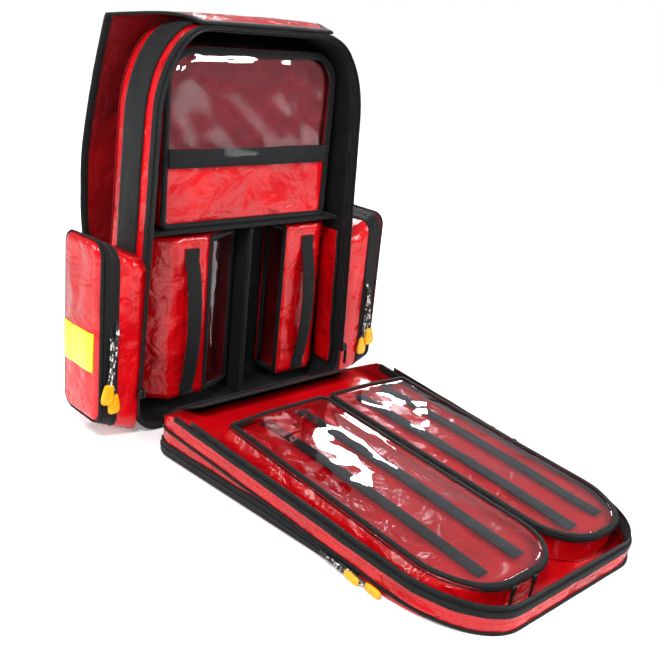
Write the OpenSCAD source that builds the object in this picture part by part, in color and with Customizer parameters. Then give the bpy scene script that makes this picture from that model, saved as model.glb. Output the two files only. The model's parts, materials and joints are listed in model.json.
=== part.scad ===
// Trauma backpack, standing open with its front cover laid down on the floor.
//
// +Z is up, -Y faces the person who looks into the open bag, +X is that person's right.
// Every module is drawn from the plane of the opening (y = 0) and from the floor (z = 0).
// place() then moves it, so that the origin lies under the middle of the compartment.
// The cover and what is on it are drawn shut, and lid_open() folds them down.

/* [Main compartment] */
// Width of the compartment at its foot
body_w = 400; // [335:5:480]
// How far each side leans in between the foot and the top corners
side_lean = 17; // [0:1:25]
// Height of the compartment
body_h = 566; // [475:2:680]
// Depth of the compartment
body_d = 96; // [80:1:116]
// Thickness of the padded tarpaulin walls
wall = 5; // [3:0.5:7]
// Thickness of the lining
lining_t = 1.2; // [0.8:0.1:2]
// Radius of the corners at the foot
foot_r = 42; // [30:1:50]
// Width of the rounded corners at the top
crown_w = 80; // [60:1:96]
// Height of the rounded corners at the top
crown_h = 130; // [100:1:160]

/* [Seams and zips] */
// Thickness of the edge binding
bind_t = 1.2; // [0.8:0.1:1.8]
// Width of the edge binding
bind_w = 12; // [8:1:16]
// Width of one half of the main zip
zip_w = 8; // [6:0.5:10]
// Thickness of the zip tape and its teeth
zip_t = 2; // [1.2:0.1:3]
// Gap between the two halves of the closed main zip, which a slider's bridge fits into
zip_gap = 2; // [1.6:0.1:3]
// How far the main zip lies in from the edge
zip_in = 1.5; // [1:0.1:2]
// Height at which the main zip ends on each side
zip_end = 60; // [50:1:90]
// Running gap between pieces that move past each other
clear = 0.3; // [0.2:0.05:0.5]
// Gap between pieces that lie against each other
touch = 0.1; // [0.05:0.05:0.2]

/* [Front cover] */
// Thickness of the cover at the hinge, with its pocket
lid_thick = 70; // [58:1:84]
// Depth of the cover itself, without its pocket
lid_d = 26; // [22:1:30]
// Thickness of the cover's walls
lid_wall = 3; // [2:0.5:4]
// Gap on the floor between the compartment and the cover
lid_gap = 40; // [30:1:50]
// Thickness of the fabric that hinges it
fabric_t = 2; // [1.2:0.2:3]
// How far the hinge corner of the cover slopes in
lid_slope = 45; // [30:1:60]
// Width of the pocket's zip band
pocket_zip_w = 16; // [10:1:20]
// Height at which the cover's pocket ends
cover_pocket_h = 500; // [380:5:520]

/* [Inner pouches] */
// Depth of the pouches in the cover
pouch_d = 39; // [30:1:42]
// Wall of the pouches and modules
pouch_wall = 2.5; // [1.5:0.5:3.5]
// Gap between the two pouches
pouch_gap = 8; // [4:1:16]
// Distance from the hinge to the pouches
pouch_z = 120; // [100:1:150]
// Width of the zip band round a pouch or a window
band_w = 9; // [6:1:12]
// Thickness of the clear windows
window_t = 0.8; // [0.5:0.1:1.5]

/* [Compartment modules] */
// Distance from the opening to the front of the modules
recess = 30; // [24:1:34]
// Height of the shelf between the upper and the lower modules
shelf_z = 283; // [240:1:320]
// Thickness of the shelf
shelf_t = 5; // [3:0.5:8]
// Distance from the middle to the upright divider
divider_x = 8; // [0:1:14]
// Thickness of the upright divider
divider_t = 4; // [3:0.5:6]
// Height of the padded lip on the floor of the compartment
lip_h = 20; // [12:1:24]
// Width of the grab handles on the lower modules
handle_w = 24; // [20:1:30]
// Length of the grab handles
handle_len = 190; // [150:1:200]
// How far the grab handles stand off
handle_rise = 13; // [10:1:15]

/* [Webbing] */
// Width of the side webbing
web_w = 48; // [38:1:52]
// Thickness of the side webbing
web_t = 2.4; // [1.6:0.1:3]
// Width of the narrow webbing
strap_w = 25; // [20:1:30]

/* [Side pockets] */
// How far a side pocket stands out
pocket_w = 66; // [54:1:80]
// Height of a side pocket against the compartment
pocket_h = 262; // [220:1:280]
// How far a side pocket rises towards its outer face
pocket_rise = 30; // [20:1:36]
// How far a side pocket starts in front of the opening
pocket_lead = -2; // [-4:1:0]
// How far forward its outer face is set
pocket_splay = 4; // [0:1:8]
// Radius of a side pocket's corners
pocket_r = 20; // [16:1:26]
// Height of the reflective band
reflect_w = 56; // [48:1:64]
// Height of the lower edge of the reflective band
reflect_z = 108; // [90:1:120]

/* [Harness cover] */
// How far the cover bulges over the stowed straps
bulge = 64; // [52:1:78]
// Height of the lower edge of the harness cover
flap_z = 70; // [60:1:90]
// Thickness of the harness cover
flap_t = 2.4; // [1.6:0.2:3]
// How far the top of the cover arches over the webbing
flap_rise = 11; // [9:1:14]

/* [Harness] */
// Thickness of the back padding
back_t = 10; // [8:1:12]
// Thickness of the shoulder pads and hip wings
pad_t = 12; // [8:1:13]
// Width of the shoulder pads
shoulder_w = 62; // [54:1:70]
// Height of the hip wings
hip_h = 88; // [74:1:92]

/* [Hidden] */

// Colours of the finishes
RED = "#D8141C";
BLACK = "#22272A";
CLEAR = "#B8B8BC";
LIME = "#E2F23A";
ORANGE = "#FFC81E";

// Levels and widths that follow from the sizes above
half_w = body_w / 2;
half_top = half_w - side_lean;
crown_z = body_h - crown_h;
inner_e = wall + lining_t;
back_y = body_d - inner_e;
rim_y = -(2 * bind_t + 2 * zip_w + zip_gap);
lid_y = rim_y - lid_d;
far = 2 * body_h;

// The cover's outer face leans by this angle, so that it lies flat on the floor when it is open
lean = atan((lid_thick - lid_d) / body_h);
outer_y = rim_y - lid_thick;
hinge_turn = 90 + lean;
// The single axis that carries the cover's foot corner from shut to its place on the floor
hinge_z = cos(lean) * (-lid_gap - outer_y) / (2 + 2 * sin(lean));
hinge_y = ((1 + sin(lean)) * (-lid_gap + sin(lean) * outer_y) + pow(cos(lean), 2) * outer_y)
    / (2 + 2 * sin(lean));

// Modules in the compartment
low_z = inner_e + lip_h + 1;
low_top = shelf_z - 8;
upper_z = shelf_z + shelf_t + clear;
upper_top = body_h - 28;
upper_half = half_top - 30;
upper_shift = 3;
upper_split = upper_z + 0.36 * (upper_top - upper_z);
module_back = back_y - clear;

// Pouches in the cover
pouch_floor = lid_y + lid_wall + lining_t + clear;
pouch_top = pouch_floor + pouch_d;
pouch_out = half_top - 11;
pouch_end = body_h - 22;
pouch_mid = 12;

// Harness cover and straps
cover_y = body_d + 4;
cover_z = body_h + bind_t + touch;
cover_front = half_top - 67;
strap_y = body_d + back_t + pad_t;
shoulder_top = body_h - 76;
shoulder_end = 228;
hip_z = 122;

// Zip pulls
slider_z = 170;
pull_len = 92;

function mix(a, b, t) = a + (b - a) * t;
function arc(cx, cz, rx, rz, from, to, n) =
    [for (i = [0:n]) let (a = mix(from, to, i / n)) [cx + rx * cos(a), cz + rz * sin(a)]];

// Outline of the bag seen from the front, drawn in by e
function rim(e) = concat(
    arc(half_w - foot_r, foot_r, foot_r - e, foot_r - e, -90, 0, 6),
    arc(half_top - crown_w, crown_z, crown_w - e, crown_h - e, 0, 90, 12),
    arc(crown_w - half_top, crown_z, crown_w - e, crown_h - e, 90, 180, 12),
    arc(foot_r - half_w, foot_r, foot_r - e, foot_r - e, 180, 270, 6));

// Half width of the bag at height z, on its straight sides
function side_x(z) = half_w - side_lean * (z - foot_r) / (crown_z - foot_r);

// Rounded rectangle from x0, z0 to x1, z1
function round_box(x0, x1, z0, z1, r) = concat(
    arc(x1 - r, z0 + r, r, r, -90, 0, 5), arc(x1 - r, z1 - r, r, r, 0, 90, 5),
    arc(x0 + r, z1 - r, r, r, 90, 180, 5), arc(x0 + r, z0 + r, r, r, 180, 270, 5));

module place() translate([0, -body_d / 2, 0]) children();

module lid_open() place()
    translate([0, hinge_y, hinge_z]) rotate([hinge_turn, 0, 0]) translate([0, -hinge_y, -hinge_z])
        children();

// An outline in X and Z, made solid from y0 to y1
module upright(y0, y1, points)
    translate([0, y1, 0]) rotate([90, 0, 0]) linear_extrude(y1 - y0) polygon(points);

// An outline in Y and Z, made solid from x0 to x1
module sideways(x0, x1, points)
    translate([x0, 0, 0]) rotate([90, 0, 90]) linear_extrude(x1 - x0) polygon(points);

// A box from one corner to the other
module block(low, high) translate(low) cube(high - low);

// The bag's outline as a solid, and as a hoop between two insets
module slab(e, y0, y1) upright(y0, y1, rim(e));
module hoop(e0, e1, y0, y1) difference() {
    slab(e0, y0, y1);
    slab(e1, y0 - 1, y1 + 1);
}

// Binding folded round an edge of thickness t that faces towards dir
module folded_edge(t, edge, dir) difference() {
    hoop(-bind_t, t + bind_t, min(edge + dir * bind_t, edge - dir * (bind_w - bind_t)),
        max(edge + dir * bind_t, edge - dir * (bind_w - bind_t)));
    hoop(0, t, min(edge, edge - dir * bind_w), max(edge, edge - dir * bind_w));
}

module mirror_side(side) mirror([side > 0 ? 1 : 0, 0, 0]) children();

// ---------------------------------------------------------------- main compartment

module main_shell() color(RED) place() difference() {
    slab(0, 0, body_d);
    slab(wall, -1, body_d - wall);
}

module main_lining() color(BLACK) place() {
    difference() {
        slab(wall, bind_w - bind_t, body_d - wall);
        slab(inner_e, -1, back_y);
    }
    // Padded lip across the floor, which stands on the binding
    block([foot_r - half_w + 8, 3, wall + bind_t], [half_w - foot_r - 8, 7, wall + bind_t + lip_h]);
}

module body_binding() color(BLACK) place() intersection() {
    folded_edge(wall, 0, -1);
    block([-far, -far, 0], [far, far, far]);
}

module body_zip() color(BLACK) place() intersection() {
    hoop(zip_in, zip_in + zip_t, -bind_t - zip_w, -bind_t);
    block([-far, -far, zip_end], [far, far, far]);
}

module shelf_divider() color(BLACK) place() intersection() {
    slab(inner_e + touch, recess - 4, back_y - touch);
    block([-far, -far, shelf_z], [far, far, shelf_z + shelf_t]);
}

module centre_divider() color(BLACK) place()
    block([divider_x, recess - 2, inner_e + touch],
        [divider_x + divider_t, back_y - touch, shelf_z - touch]);

module inner_side_pocket() color(RED) place() intersection() {
    hoop(inner_e + touch, inner_e + touch + 1.5, bind_w + 2, body_d - 36);
    block([0, -far, 30], [far, far, shelf_z - 18]);
}

// ---------------------------------------------------------------- webbing

// One strap runs up one side, over the top and down the other, and ends behind the side pockets
module carry_webbing() color(BLACK) place() intersection() {
    hoop(-web_t, 0, body_d / 2 - web_w / 2, body_d / 2 + web_w / 2);
    block([-far, -far, pocket_h - 22], [far, far, far]);
}

// ---------------------------------------------------------------- harness on the back

module back_pad() color(BLACK) place()
    upright(body_d, body_d + back_t, round_box(60 - half_w, half_w - 60, flap_z + 26, body_h - 50, 40));

// The shoulder pad's centre line swings out below the shoulder
function shoulder_x(u) = 52 + 40 * sin(180 * u);
function shoulder_z(u) = mix(shoulder_top, shoulder_end, u);

module shoulder_strap(side) color(BLACK) place() mirror_side(side) {
    upright(body_d + back_t, strap_y, concat(
        [for (i = [0:16]) [-shoulder_x(i / 16) - shoulder_w / 2, shoulder_z(i / 16)]],
        [for (i = [16:-1:0]) [-shoulder_x(i / 16) + shoulder_w / 2, shoulder_z(i / 16)]]));
    // Adjusting webbing, which runs out from under the pad's end
    upright(strap_y, strap_y + 2, [
        [-52 - strap_w / 2, shoulder_end + 24], [-52 + strap_w / 2, shoulder_end + 24],
        [-118 + strap_w / 2, hip_z + 18], [-118 - strap_w / 2, hip_z + 18]]);
}
module shoulder_strap_left() shoulder_strap(-1);
module shoulder_strap_right() shoulder_strap(1);

module hip_wing(side) color(BLACK) place() mirror_side(side)
    upright(buckle_y, strap_y - clear, round_box(36 - half_w, -46, hip_z, hip_z + hip_h, 24));
module hip_wing_left() hip_wing(-1);
module hip_wing_right() hip_wing(1);

// Side-release buckle: the plug's two prongs slip into the socket
buckle_h = 44;
buckle_y = body_d + back_t + clear;
buckle_z = hip_z + hip_h / 2;
module hip_buckle_plug() color(BLACK) place() {
    block([-46 + touch, buckle_y, buckle_z - buckle_h / 2], [-14, buckle_y + 9, buckle_z + buckle_h / 2]);
    for (s = [-1, 1])
        block([-14, buckle_y + 2.5, buckle_z + s * 12 - 3], [12, buckle_y + 6.5, buckle_z + s * 12 + 3]);
}

module hip_buckle_socket() color(BLACK) place() difference() {
    block([-14 + clear, buckle_y, buckle_z - buckle_h / 2],
        [46 - touch, buckle_y + 9, buckle_z + buckle_h / 2]);
    for (s = [-1, 1])
        block([-15, buckle_y + 2.5 - clear, buckle_z + s * 12 - 3 - clear],
            [12 + clear, buckle_y + 6.5 + clear, buckle_z + s * 12 + 3 + clear]);
}

chest_z = mix(shoulder_top, shoulder_end, 0.42);
module chest_strap() color(BLACK) place() {
    for (x = [-100, 20])
        block([x, strap_y, chest_z - strap_w / 2], [x + 80, strap_y + 2, chest_z + strap_w / 2]);
    block([-20, strap_y - 3, chest_z - 17], [20, strap_y + 6, chest_z + 17]);
}

// ---------------------------------------------------------------- harness cover

function cover_arch(y) = cover_z + flap_rise * sin(180 * y / cover_y);
module cover_top() color(RED) place() intersection() {
    sideways(-half_w, half_w, concat(
        [for (i = [0:14]) let (y = mix(2, cover_y, i / 14)) [y, cover_arch(y)]],
        [for (i = [14:-1:0]) let (y = mix(2, cover_y, i / 14)) [y, cover_arch(y) + flap_t]]));
    linear_extrude(far) polygon(concat(
        [for (i = [0:8]) let (u = i / 8) [mix(cover_front, half_w, pow(u, 2.2)), u * cover_y]],
        [[half_w, cover_y + 1], [-half_w, cover_y + 1]],
        [for (i = [8:-1:0]) let (u = i / 8) [-mix(cover_front, half_w, pow(u, 2.2)), u * cover_y]]));
}

// The hanging cover's profile, drawn thicker by grow on each face
flap_top = cover_z + flap_t;
function flap_y(u) = cover_y + clear + bulge * sin(180 * u);
function flap_profile(grow, bottom, top) = concat(
    [for (i = [0:24]) let (u = i / 24) [flap_y(u) - grow, mix(top, bottom, u)]],
    [for (i = [24:-1:0]) let (u = i / 24) [flap_y(u) + flap_t + grow, mix(top, bottom, u)]]);

module cover_flap() color(RED) place()
    sideways(-half_w, half_w, flap_profile(0, flap_z, flap_top));

module flap_binding() color(BLACK) place() difference() {
    intersection() {
        sideways(-half_w - bind_t, half_w + bind_t, flap_profile(bind_t, flap_z, flap_top));
        block([-far, -far, flap_z - bind_t], [far, far, cover_z - 3]);
    }
    sideways(-half_w, half_w, flap_profile(0, flap_z, flap_top));
    block([bind_w - half_w, 0, flap_z + bind_w], [half_w - bind_w, far, far]);
}

// ---------------------------------------------------------------- side pockets

// A pocket's outline in Y and Z at t, from 0 at the compartment to 1 at the outer face
function pocket_outline(t, e) = round_box(
    pocket_lead - pocket_splay * t + e, body_d - 4 - pocket_splay * t - e,
    4 + pocket_rise * t + e, pocket_h + pocket_rise * t - e, pocket_r - e);

module pocket_slice(t, e)
    sideways(-half_w - pocket_w * t, 0.01 - half_w - pocket_w * t, pocket_outline(t, e));

module pocket_loft(t0, t1, e0, e1) hull() {
    pocket_slice(t0, e0);
    pocket_slice(t1, e1);
}

gusset_end = 0.52;
zip_band_end = 0.86;
module pocket(side) color(RED) place() mirror_side(side) difference() {
    pocket_loft(-0.25, gusset_end, 0, 0);
    pocket_loft(-0.26, gusset_end + 0.01, pouch_wall, pouch_wall);
    slab(0, -far, far);
    hoop(-web_t - touch, 1, body_d / 2 - web_w / 2 - touch, body_d / 2 + web_w / 2 + touch);
    slab(-bind_t - touch, -far, bind_w - bind_t + touch);
}
module pocket_left() pocket(-1);
module pocket_right() pocket(1);

module pocket_zip(side) color(BLACK) place() mirror_side(side) difference() {
    pocket_loft(gusset_end + 0.001, zip_band_end, 0, 0);
    pocket_loft(gusset_end - 0.01, zip_band_end + 0.01, pouch_wall, pouch_wall);
}
module pocket_zip_left() pocket_zip(-1);
module pocket_zip_right() pocket_zip(1);

module pocket_door(side) color(RED) place() mirror_side(side) difference() {
    pocket_loft(zip_band_end + clear / pocket_w, 1, 0, 8);
    pocket_loft(zip_band_end - 0.01, 1 - pouch_wall / pocket_w, pouch_wall, 8 + pouch_wall);
}
module pocket_door_left() pocket_door(-1);
module pocket_door_right() pocket_door(1);

module reflective_band(side) color(LIME) place() mirror_side(side)
    block([-half_w - pocket_w - 0.8, 8, reflect_z],
        [-half_w - pocket_w, body_d - 22, reflect_z + reflect_w]);
module reflective_band_left() reflective_band(-1);
module reflective_band_right() reflective_band(1);

// A zip slider with its cord loop and moulded end, hanging from level and leaning by angle
module pull(x, angle, level) translate([x, 0, level]) {
    seat = mix(pocket_lead, pocket_lead - pocket_splay, (-x - half_w) / pocket_w) - 2 * clear;
    block([-3.5, seat - 2.6, -7], [3.5, seat, 7]);
    rotate([0, angle, 0]) {
        for (s = [-1, 1])
            translate([s * 2.2, seat - 4, -pull_len]) cylinder(r = 1.3, h = pull_len - 4, $fn = 16);
        upright(seat - 9, pocket_lead - pocket_splay - 2 * clear,
            arc(0, -pull_len - 14, 8, 14, 0, 360, 20));
    }
}
module pocket_pull(side, x, angle, level) color(ORANGE) place() mirror_side(side)
    pull(x, angle, level);
module pocket_pull_left_upper() pocket_pull(-1, -half_w - 37, -9, slider_z + 8);
module pocket_pull_left_lower() pocket_pull(-1, -half_w - 46, 3, slider_z - 8);
module pocket_pull_right_upper() pocket_pull(1, -half_w - 37, -9, slider_z + 8);
module pocket_pull_right_lower() pocket_pull(1, -half_w - 46, 3, slider_z - 8);

// ---------------------------------------------------------------- upper module

function upper_outline(e) = concat(
    arc(upper_half - 14, upper_z + 14, 14 - e, 14 - e, -90, 0, 4),
    arc(upper_half - 50, upper_top - 46, 50 - e, 46 - e, 0, 90, 8),
    arc(50 - upper_half, upper_top - 46, 50 - e, 46 - e, 90, 180, 8),
    arc(14 - upper_half, upper_z + 14, 14 - e, 14 - e, 180, 270, 4));
front_t = 2.4;

module upper(y0, y1, e) translate([upper_shift, 0, 0]) upright(y0, y1, upper_outline(e));

module top_module() color(RED) place() difference() {
    upper(recess + front_t + clear, module_back, 0);
    upper(0, module_back - pouch_wall, pouch_wall);
}

module top_module_zip() color(BLACK) place() difference() {
    upper(recess, recess + front_t + clear - touch, 0);
    upper(0, body_d, band_w);
}

module top_module_panel() color(RED) place() intersection() {
    upper(recess, recess + front_t, band_w + clear);
    block([-far, 0, 0], [far, body_d, upper_split]);
}

module top_module_window() color(CLEAR) place() intersection() {
    upper(recess + 0.8, recess + 0.8 + window_t, band_w + clear);
    block([-far, 0, upper_split], [far, body_d, far]);
}

// ---------------------------------------------------------------- lower modules

// Plan of each lower module: the window closes the side from the second to the third point
left_plan = [[-half_w + 76, recess], [-64, recess], [divider_x - 8, recess + 26],
    [divider_x - 8, module_back], [-half_w + 36, module_back], [-half_w + 36, recess + 32]];
right_plan = [[half_w - 48, recess], [84, recess], [84, module_back - 8],
    [84, module_back], [half_w - 26, module_back], [half_w - 26, recess + 16]];

module low_solid(plan, e, z0, z1)
    translate([0, 0, z0]) linear_extrude(z1 - z0) offset(delta = -e) polygon(plan);

// A plate on the line from a to b, set back by s from its ends and by e at top and bottom
module face_plate(a, b, s, t0, t1, e) {
    run = b - a;
    translate([a[0], a[1], 0]) rotate([0, 0, atan2(run[1], run[0])])
        block([s, t0, low_z + e], [norm(run) - s, t1, low_top - e]);
}

module low_module(plan, out) color(RED) place() difference() {
    low_solid(plan, 0, low_z, low_top);
    low_solid(plan, pouch_wall, low_z + pouch_wall, low_top - pouch_wall);
    face_plate(plan[1], plan[2], pouch_wall + 1, -out * pouch_wall * 2, out * pouch_wall * 2, pouch_wall);
}
module left_module() low_module(left_plan, 1);
module right_module() low_module(right_plan, 1);

// The zip frame lies on the outside of the window's side, and the window inside it
module window_frame(plan, dir) color(BLACK) place() difference() {
    face_plate(plan[1], plan[2], touch, min(0, dir * 1.6), max(0, dir * 1.6), 0);
    face_plate(plan[1], plan[2], band_w, -3, 3, band_w);
}
module left_module_zip() window_frame(left_plan, -1);
module right_module_zip() window_frame(right_plan, 1);

module low_window(plan, dir) color(CLEAR) place()
    face_plate(plan[1], plan[2], band_w + clear, min(dir * 0.4, dir * (0.4 + window_t)),
        max(dir * 0.4, dir * (0.4 + window_t)), band_w + clear);
module left_module_window() low_window(left_plan, -1);
module right_module_window() low_window(right_plan, 1);

// A webbing handle that bows out between two sewn ends
handle_z = mix(low_z, low_top, 0.47);
function bow(u) = recess - 2.2 - handle_rise * pow(sin(180 * u), 0.7);
module grab_handle(x) color(BLACK) place() {
    sideways(x - handle_w / 2, x + handle_w / 2, concat(
        [for (i = [0:16]) let (u = i / 16) [bow(u), handle_z + handle_len * (u - 0.5)]],
        [for (i = [16:-1:0]) let (u = i / 16) [bow(u) + 2.2, handle_z + handle_len * (u - 0.5)]]));
    for (s = [-1, 1])
        block([x - handle_w / 2, recess - 2.2, handle_z + s * (handle_len / 2 + 10) - 10],
            [x + handle_w / 2, recess, handle_z + s * (handle_len / 2 + 10) + 10]);
}
module left_module_handle() grab_handle(-half_w + 106);
module right_module_handle() grab_handle(half_w - 72);

// ---------------------------------------------------------------- front cover

// Height of the leaning outer face at z, and the cover's own profile drawn in by e
function lean_y(z) = outer_y + (lid_thick - lid_d) * z / body_h;
module lid_solid(e, front) intersection() {
    slab(e, lid_y + e, front);
    sideways(-far, far, [
        [lid_y - 1, e], [lid_y + e, e], [rim_y, lid_slope + 0.6 * e],
        [front + 1, lid_slope + 0.6 * e], [front + 1, far], [lid_y - 1, far]]);
}

module lid_shell() color(RED) lid_open() difference() {
    lid_solid(0, rim_y);
    lid_solid(lid_wall, rim_y + 1);
}

module lid_lining() color(RED) lid_open() intersection() {
    slab(lid_wall + touch, lid_y + lid_wall, lid_y + lid_wall + lining_t);
    block([-far, -far, lid_wall + 6], [far, far, far]);
}

module lid_binding() color(BLACK) lid_open() intersection() {
    folded_edge(lid_wall, rim_y, 1);
    block([-far, -far, lid_slope + 4], [far, far, far]);
}

module lid_zip() color(BLACK) lid_open() intersection() {
    hoop(zip_in, zip_in + zip_t, rim_y + bind_t, rim_y + bind_t + zip_w);
    block([-far, -far, zip_end + 18], [far, far, far]);
}

// Hook-and-loop webbing sewn across the cover's base panel
module lid_webbing() color(BLACK) lid_open() {
    y0 = lid_y + lid_wall + lining_t;
    block([-half_w + 80, y0, 72], [half_w - 48, y0 + 1.6, 72 + strap_w]);
    block([-half_w + 96, y0, 72 + strap_w], [-half_w + 96 + strap_w, y0 + 1.6, pouch_z - 2]);
    block([half_w - 96 - strap_w, y0, 72 + strap_w], [half_w - 96, y0 + 1.6, pouch_z - 2]);
}

// The fabric that joins the compartment's foot to the cover, drawn where it lies when open
function unfold(y, z) = [
    hinge_y + (y - hinge_y) * cos(hinge_turn) - (z - hinge_z) * sin(hinge_turn),
    hinge_z + (y - hinge_y) * sin(hinge_turn) + (z - hinge_z) * cos(hinge_turn)];

// A sheet of thickness t along a line of points
function turn(v) = [-v[1], v[0]] / norm(v);
function ribbon(p, t) = let (n = len(p) - 1,
    across = [for (i = [0:n]) turn(p[min(i + 1, n)] - p[max(i - 1, 0)]) * t / 2])
    concat([for (i = [0:n]) p[i] + across[i]], [for (i = [n:-1:0]) p[i] - across[i]]);

module hinge_fabric() color(BLACK) place() {
    off = turn([rim_y, lid_slope] - [lid_y, 0]) * (clear + fabric_t / 2);
    top = unfold(rim_y - off[0], lid_slope - off[1]);
    corner = unfold(lid_y - off[0], -off[1]);
    near = [-bind_t - clear - fabric_t / 2, 5];
    sideways(foot_r - half_w + 6, half_w - foot_r - 6, ribbon([near, near + [-1, 3], near + [-12, 8],
        mix(near, corner, 0.62) + [2, -3], mix(near, corner, 0.86) + [2, -1], corner + [1, 0], top], fabric_t));
}

// The cover's own pocket fills the wedge between the cover and the floor
function wedge(e, back) = [[lid_y + back, e], [lean_y(e) + e, e],
    [lean_y(cover_pocket_h - e) + e, cover_pocket_h - e], [lid_y + back, cover_pocket_h - e]];
module front_pocket() color(RED) lid_open() difference() {
    intersection() {
        slab(zip_in, -far, lid_y);
        sideways(-far, far, wedge(0, 0));
    }
    intersection() {
        slab(zip_in + pouch_wall, -far, lid_y + 1);
        sideways(-far, far, wedge(pouch_wall, 1));
    }
}

module front_pocket_zip() color(BLACK) lid_open() intersection() {
    hoop(0, zip_in, -far, lid_y - touch);
    y0 = lean_y(12) + 3;
    z1 = cover_pocket_h - 90;
    y1 = lean_y(z1) + 3;
    sideways(-far, far, [[y0, 12], [y1, z1], [y1 + pocket_zip_w, z1], [y0 + pocket_zip_w, 12]]);
}

// ---------------------------------------------------------------- pouches in the cover

function pouch_outline(x0, x1, e) = concat(
    arc(x1 - 12, pouch_z + 12, 12 - e, 12 - e, -90, 0, 4),
    arc(x1 - 62, pouch_end - 64, 62 - e, 64 - e, 0, 90, 8),
    arc(x0 + 78, pouch_end - 84, 78 - e, 84 - e, 90, 180, 10),
    arc(x0 + 12, pouch_z + 12, 12 - e, 12 - e, 180, 270, 4));

module pouch_slab(side, y0, y1, e)
    if (side < 0) upright(y0, y1, pouch_outline(-pouch_out, pouch_mid - pouch_gap / 2, e));
    else mirror([1, 0, 0]) upright(y0, y1, pouch_outline(-pouch_out, -pouch_mid - pouch_gap / 2, e));

module pouch(side) color(RED) lid_open() difference() {
    pouch_slab(side, pouch_floor, pouch_top, 0);
    pouch_slab(side, pouch_floor + pouch_wall, pouch_top + 1, pouch_wall);
}
module pouch_left() pouch(-1);
module pouch_right() pouch(1);

module pouch_window(side) color(CLEAR) lid_open()
    pouch_slab(side, pouch_top + clear, pouch_top + clear + window_t, 0);
module pouch_window_left() pouch_window(-1);
module pouch_window_right() pouch_window(1);

// Two sliders with flat pull tabs, on the foot end of one pouch and the outer side of the other
slider_h = 14;
tab_len = 24;
module tab_slider() {
    block([-4, -slider_h, clear], [4, 0, clear + 3]);
    block([-3, -slider_h - tab_len, clear + 0.8], [3, -slider_h, clear + 2.4]);
}
module pouch_sliders_left() color(BLACK) lid_open()
    for (x = [-98, -60]) translate([x, pouch_top - 1, pouch_end]) tab_slider();
module pouch_sliders_right() color(BLACK) lid_open()
    for (z = [300, 340]) translate([pouch_out, pouch_top - 1, z]) rotate([0, 90, 0]) tab_slider();

// The sliders of the cover's pocket, whose cords lie along the cover's side
module front_pocket_pulls() color(ORANGE) lid_open()
    for (z = [352, 384]) {
        x = -side_x(z) - 2 * clear;
        y = lean_y(z + 66) + 4.6;
        block([x - 2.8, y - 3.5, z - 7], [x, y + 3.5, z + 7]);
        for (s = [-1, 1])
            translate([x - 1.5, y + s * 2.2, z + 7]) cylinder(r = 1.3, h = 34, $fn = 16);
        translate([x - 6.4, y, z + 53]) rotate([0, 90, 0])
            linear_extrude(7) polygon(arc(0, 0, 12, 4.5, 0, 360, 20));
    }

// ---------------------------------------------------------------- main zip sliders

module main_slider(side) color(BLACK) place() mirror_side(side) {
    x = -side_x(zip_end + slider_h / 2) + zip_in + zip_t / 2;
    bridge = zip_gap / 2 - clear;
    translate([x, -bind_t - zip_w - zip_gap / 2, zip_end + slider_h / 2])
        rotate([0, atan(side_lean / (crown_z - foot_r)), 0]) {
            // One channel for each half of the zip, with the bridge between them
            difference() {
                block([-4.5, -4, -slider_h / 2], [4.5, 4, slider_h / 2]);
                block([-zip_t / 2 - clear, bridge, -slider_h], [zip_t / 2 + clear, 5, slider_h]);
                block([-zip_t / 2 - clear, -5, -slider_h], [zip_t / 2 + clear, -bridge, slider_h]);
            }
            block([-6.1, -3, -slider_h / 2 - 24], [-4.5, 3, slider_h / 2 - 3]);
        }
}
module main_slider_left() main_slider(-1);
module main_slider_right() main_slider(1);

main_shell();
main_lining();
body_binding();
body_zip();
shelf_divider();
centre_divider();
inner_side_pocket();
carry_webbing();
back_pad();
shoulder_strap_left();
shoulder_strap_right();
hip_wing_left();
hip_wing_right();
hip_buckle_plug();
hip_buckle_socket();
chest_strap();
cover_top();
cover_flap();
flap_binding();
pocket_left();
pocket_right();
pocket_zip_left();
pocket_zip_right();
pocket_door_left();
pocket_door_right();
reflective_band_left();
reflective_band_right();
pocket_pull_left_upper();
pocket_pull_left_lower();
pocket_pull_right_upper();
pocket_pull_right_lower();
top_module();
top_module_zip();
top_module_panel();
top_module_window();
left_module();
left_module_zip();
left_module_window();
left_module_handle();
right_module();
right_module_zip();
right_module_window();
right_module_handle();
lid_shell();
lid_lining();
lid_binding();
lid_zip();
lid_webbing();
hinge_fabric();
front_pocket();
front_pocket_zip();
pouch_left();
pouch_right();
pouch_window_left();
pouch_window_right();
pouch_sliders_left();
pouch_sliders_right();
front_pocket_pulls();
main_slider_left();
main_slider_right();
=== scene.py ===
"""Trauma backpack that stands open, with its front cover laid down on the floor.

Each class below is one sub-assembly. It holds its own sizes in millimetres, as the part is drawn:
x to the right, y into the bag from the plane of the opening, z up from the floor. The cover and
all that is on it are drawn shut, and Stand.COVER turns them down on to the floor.
"""

import json
import logging
import math
from dataclasses import dataclass, field
from enum import Enum
from typing import Callable, Optional, Sequence

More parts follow.
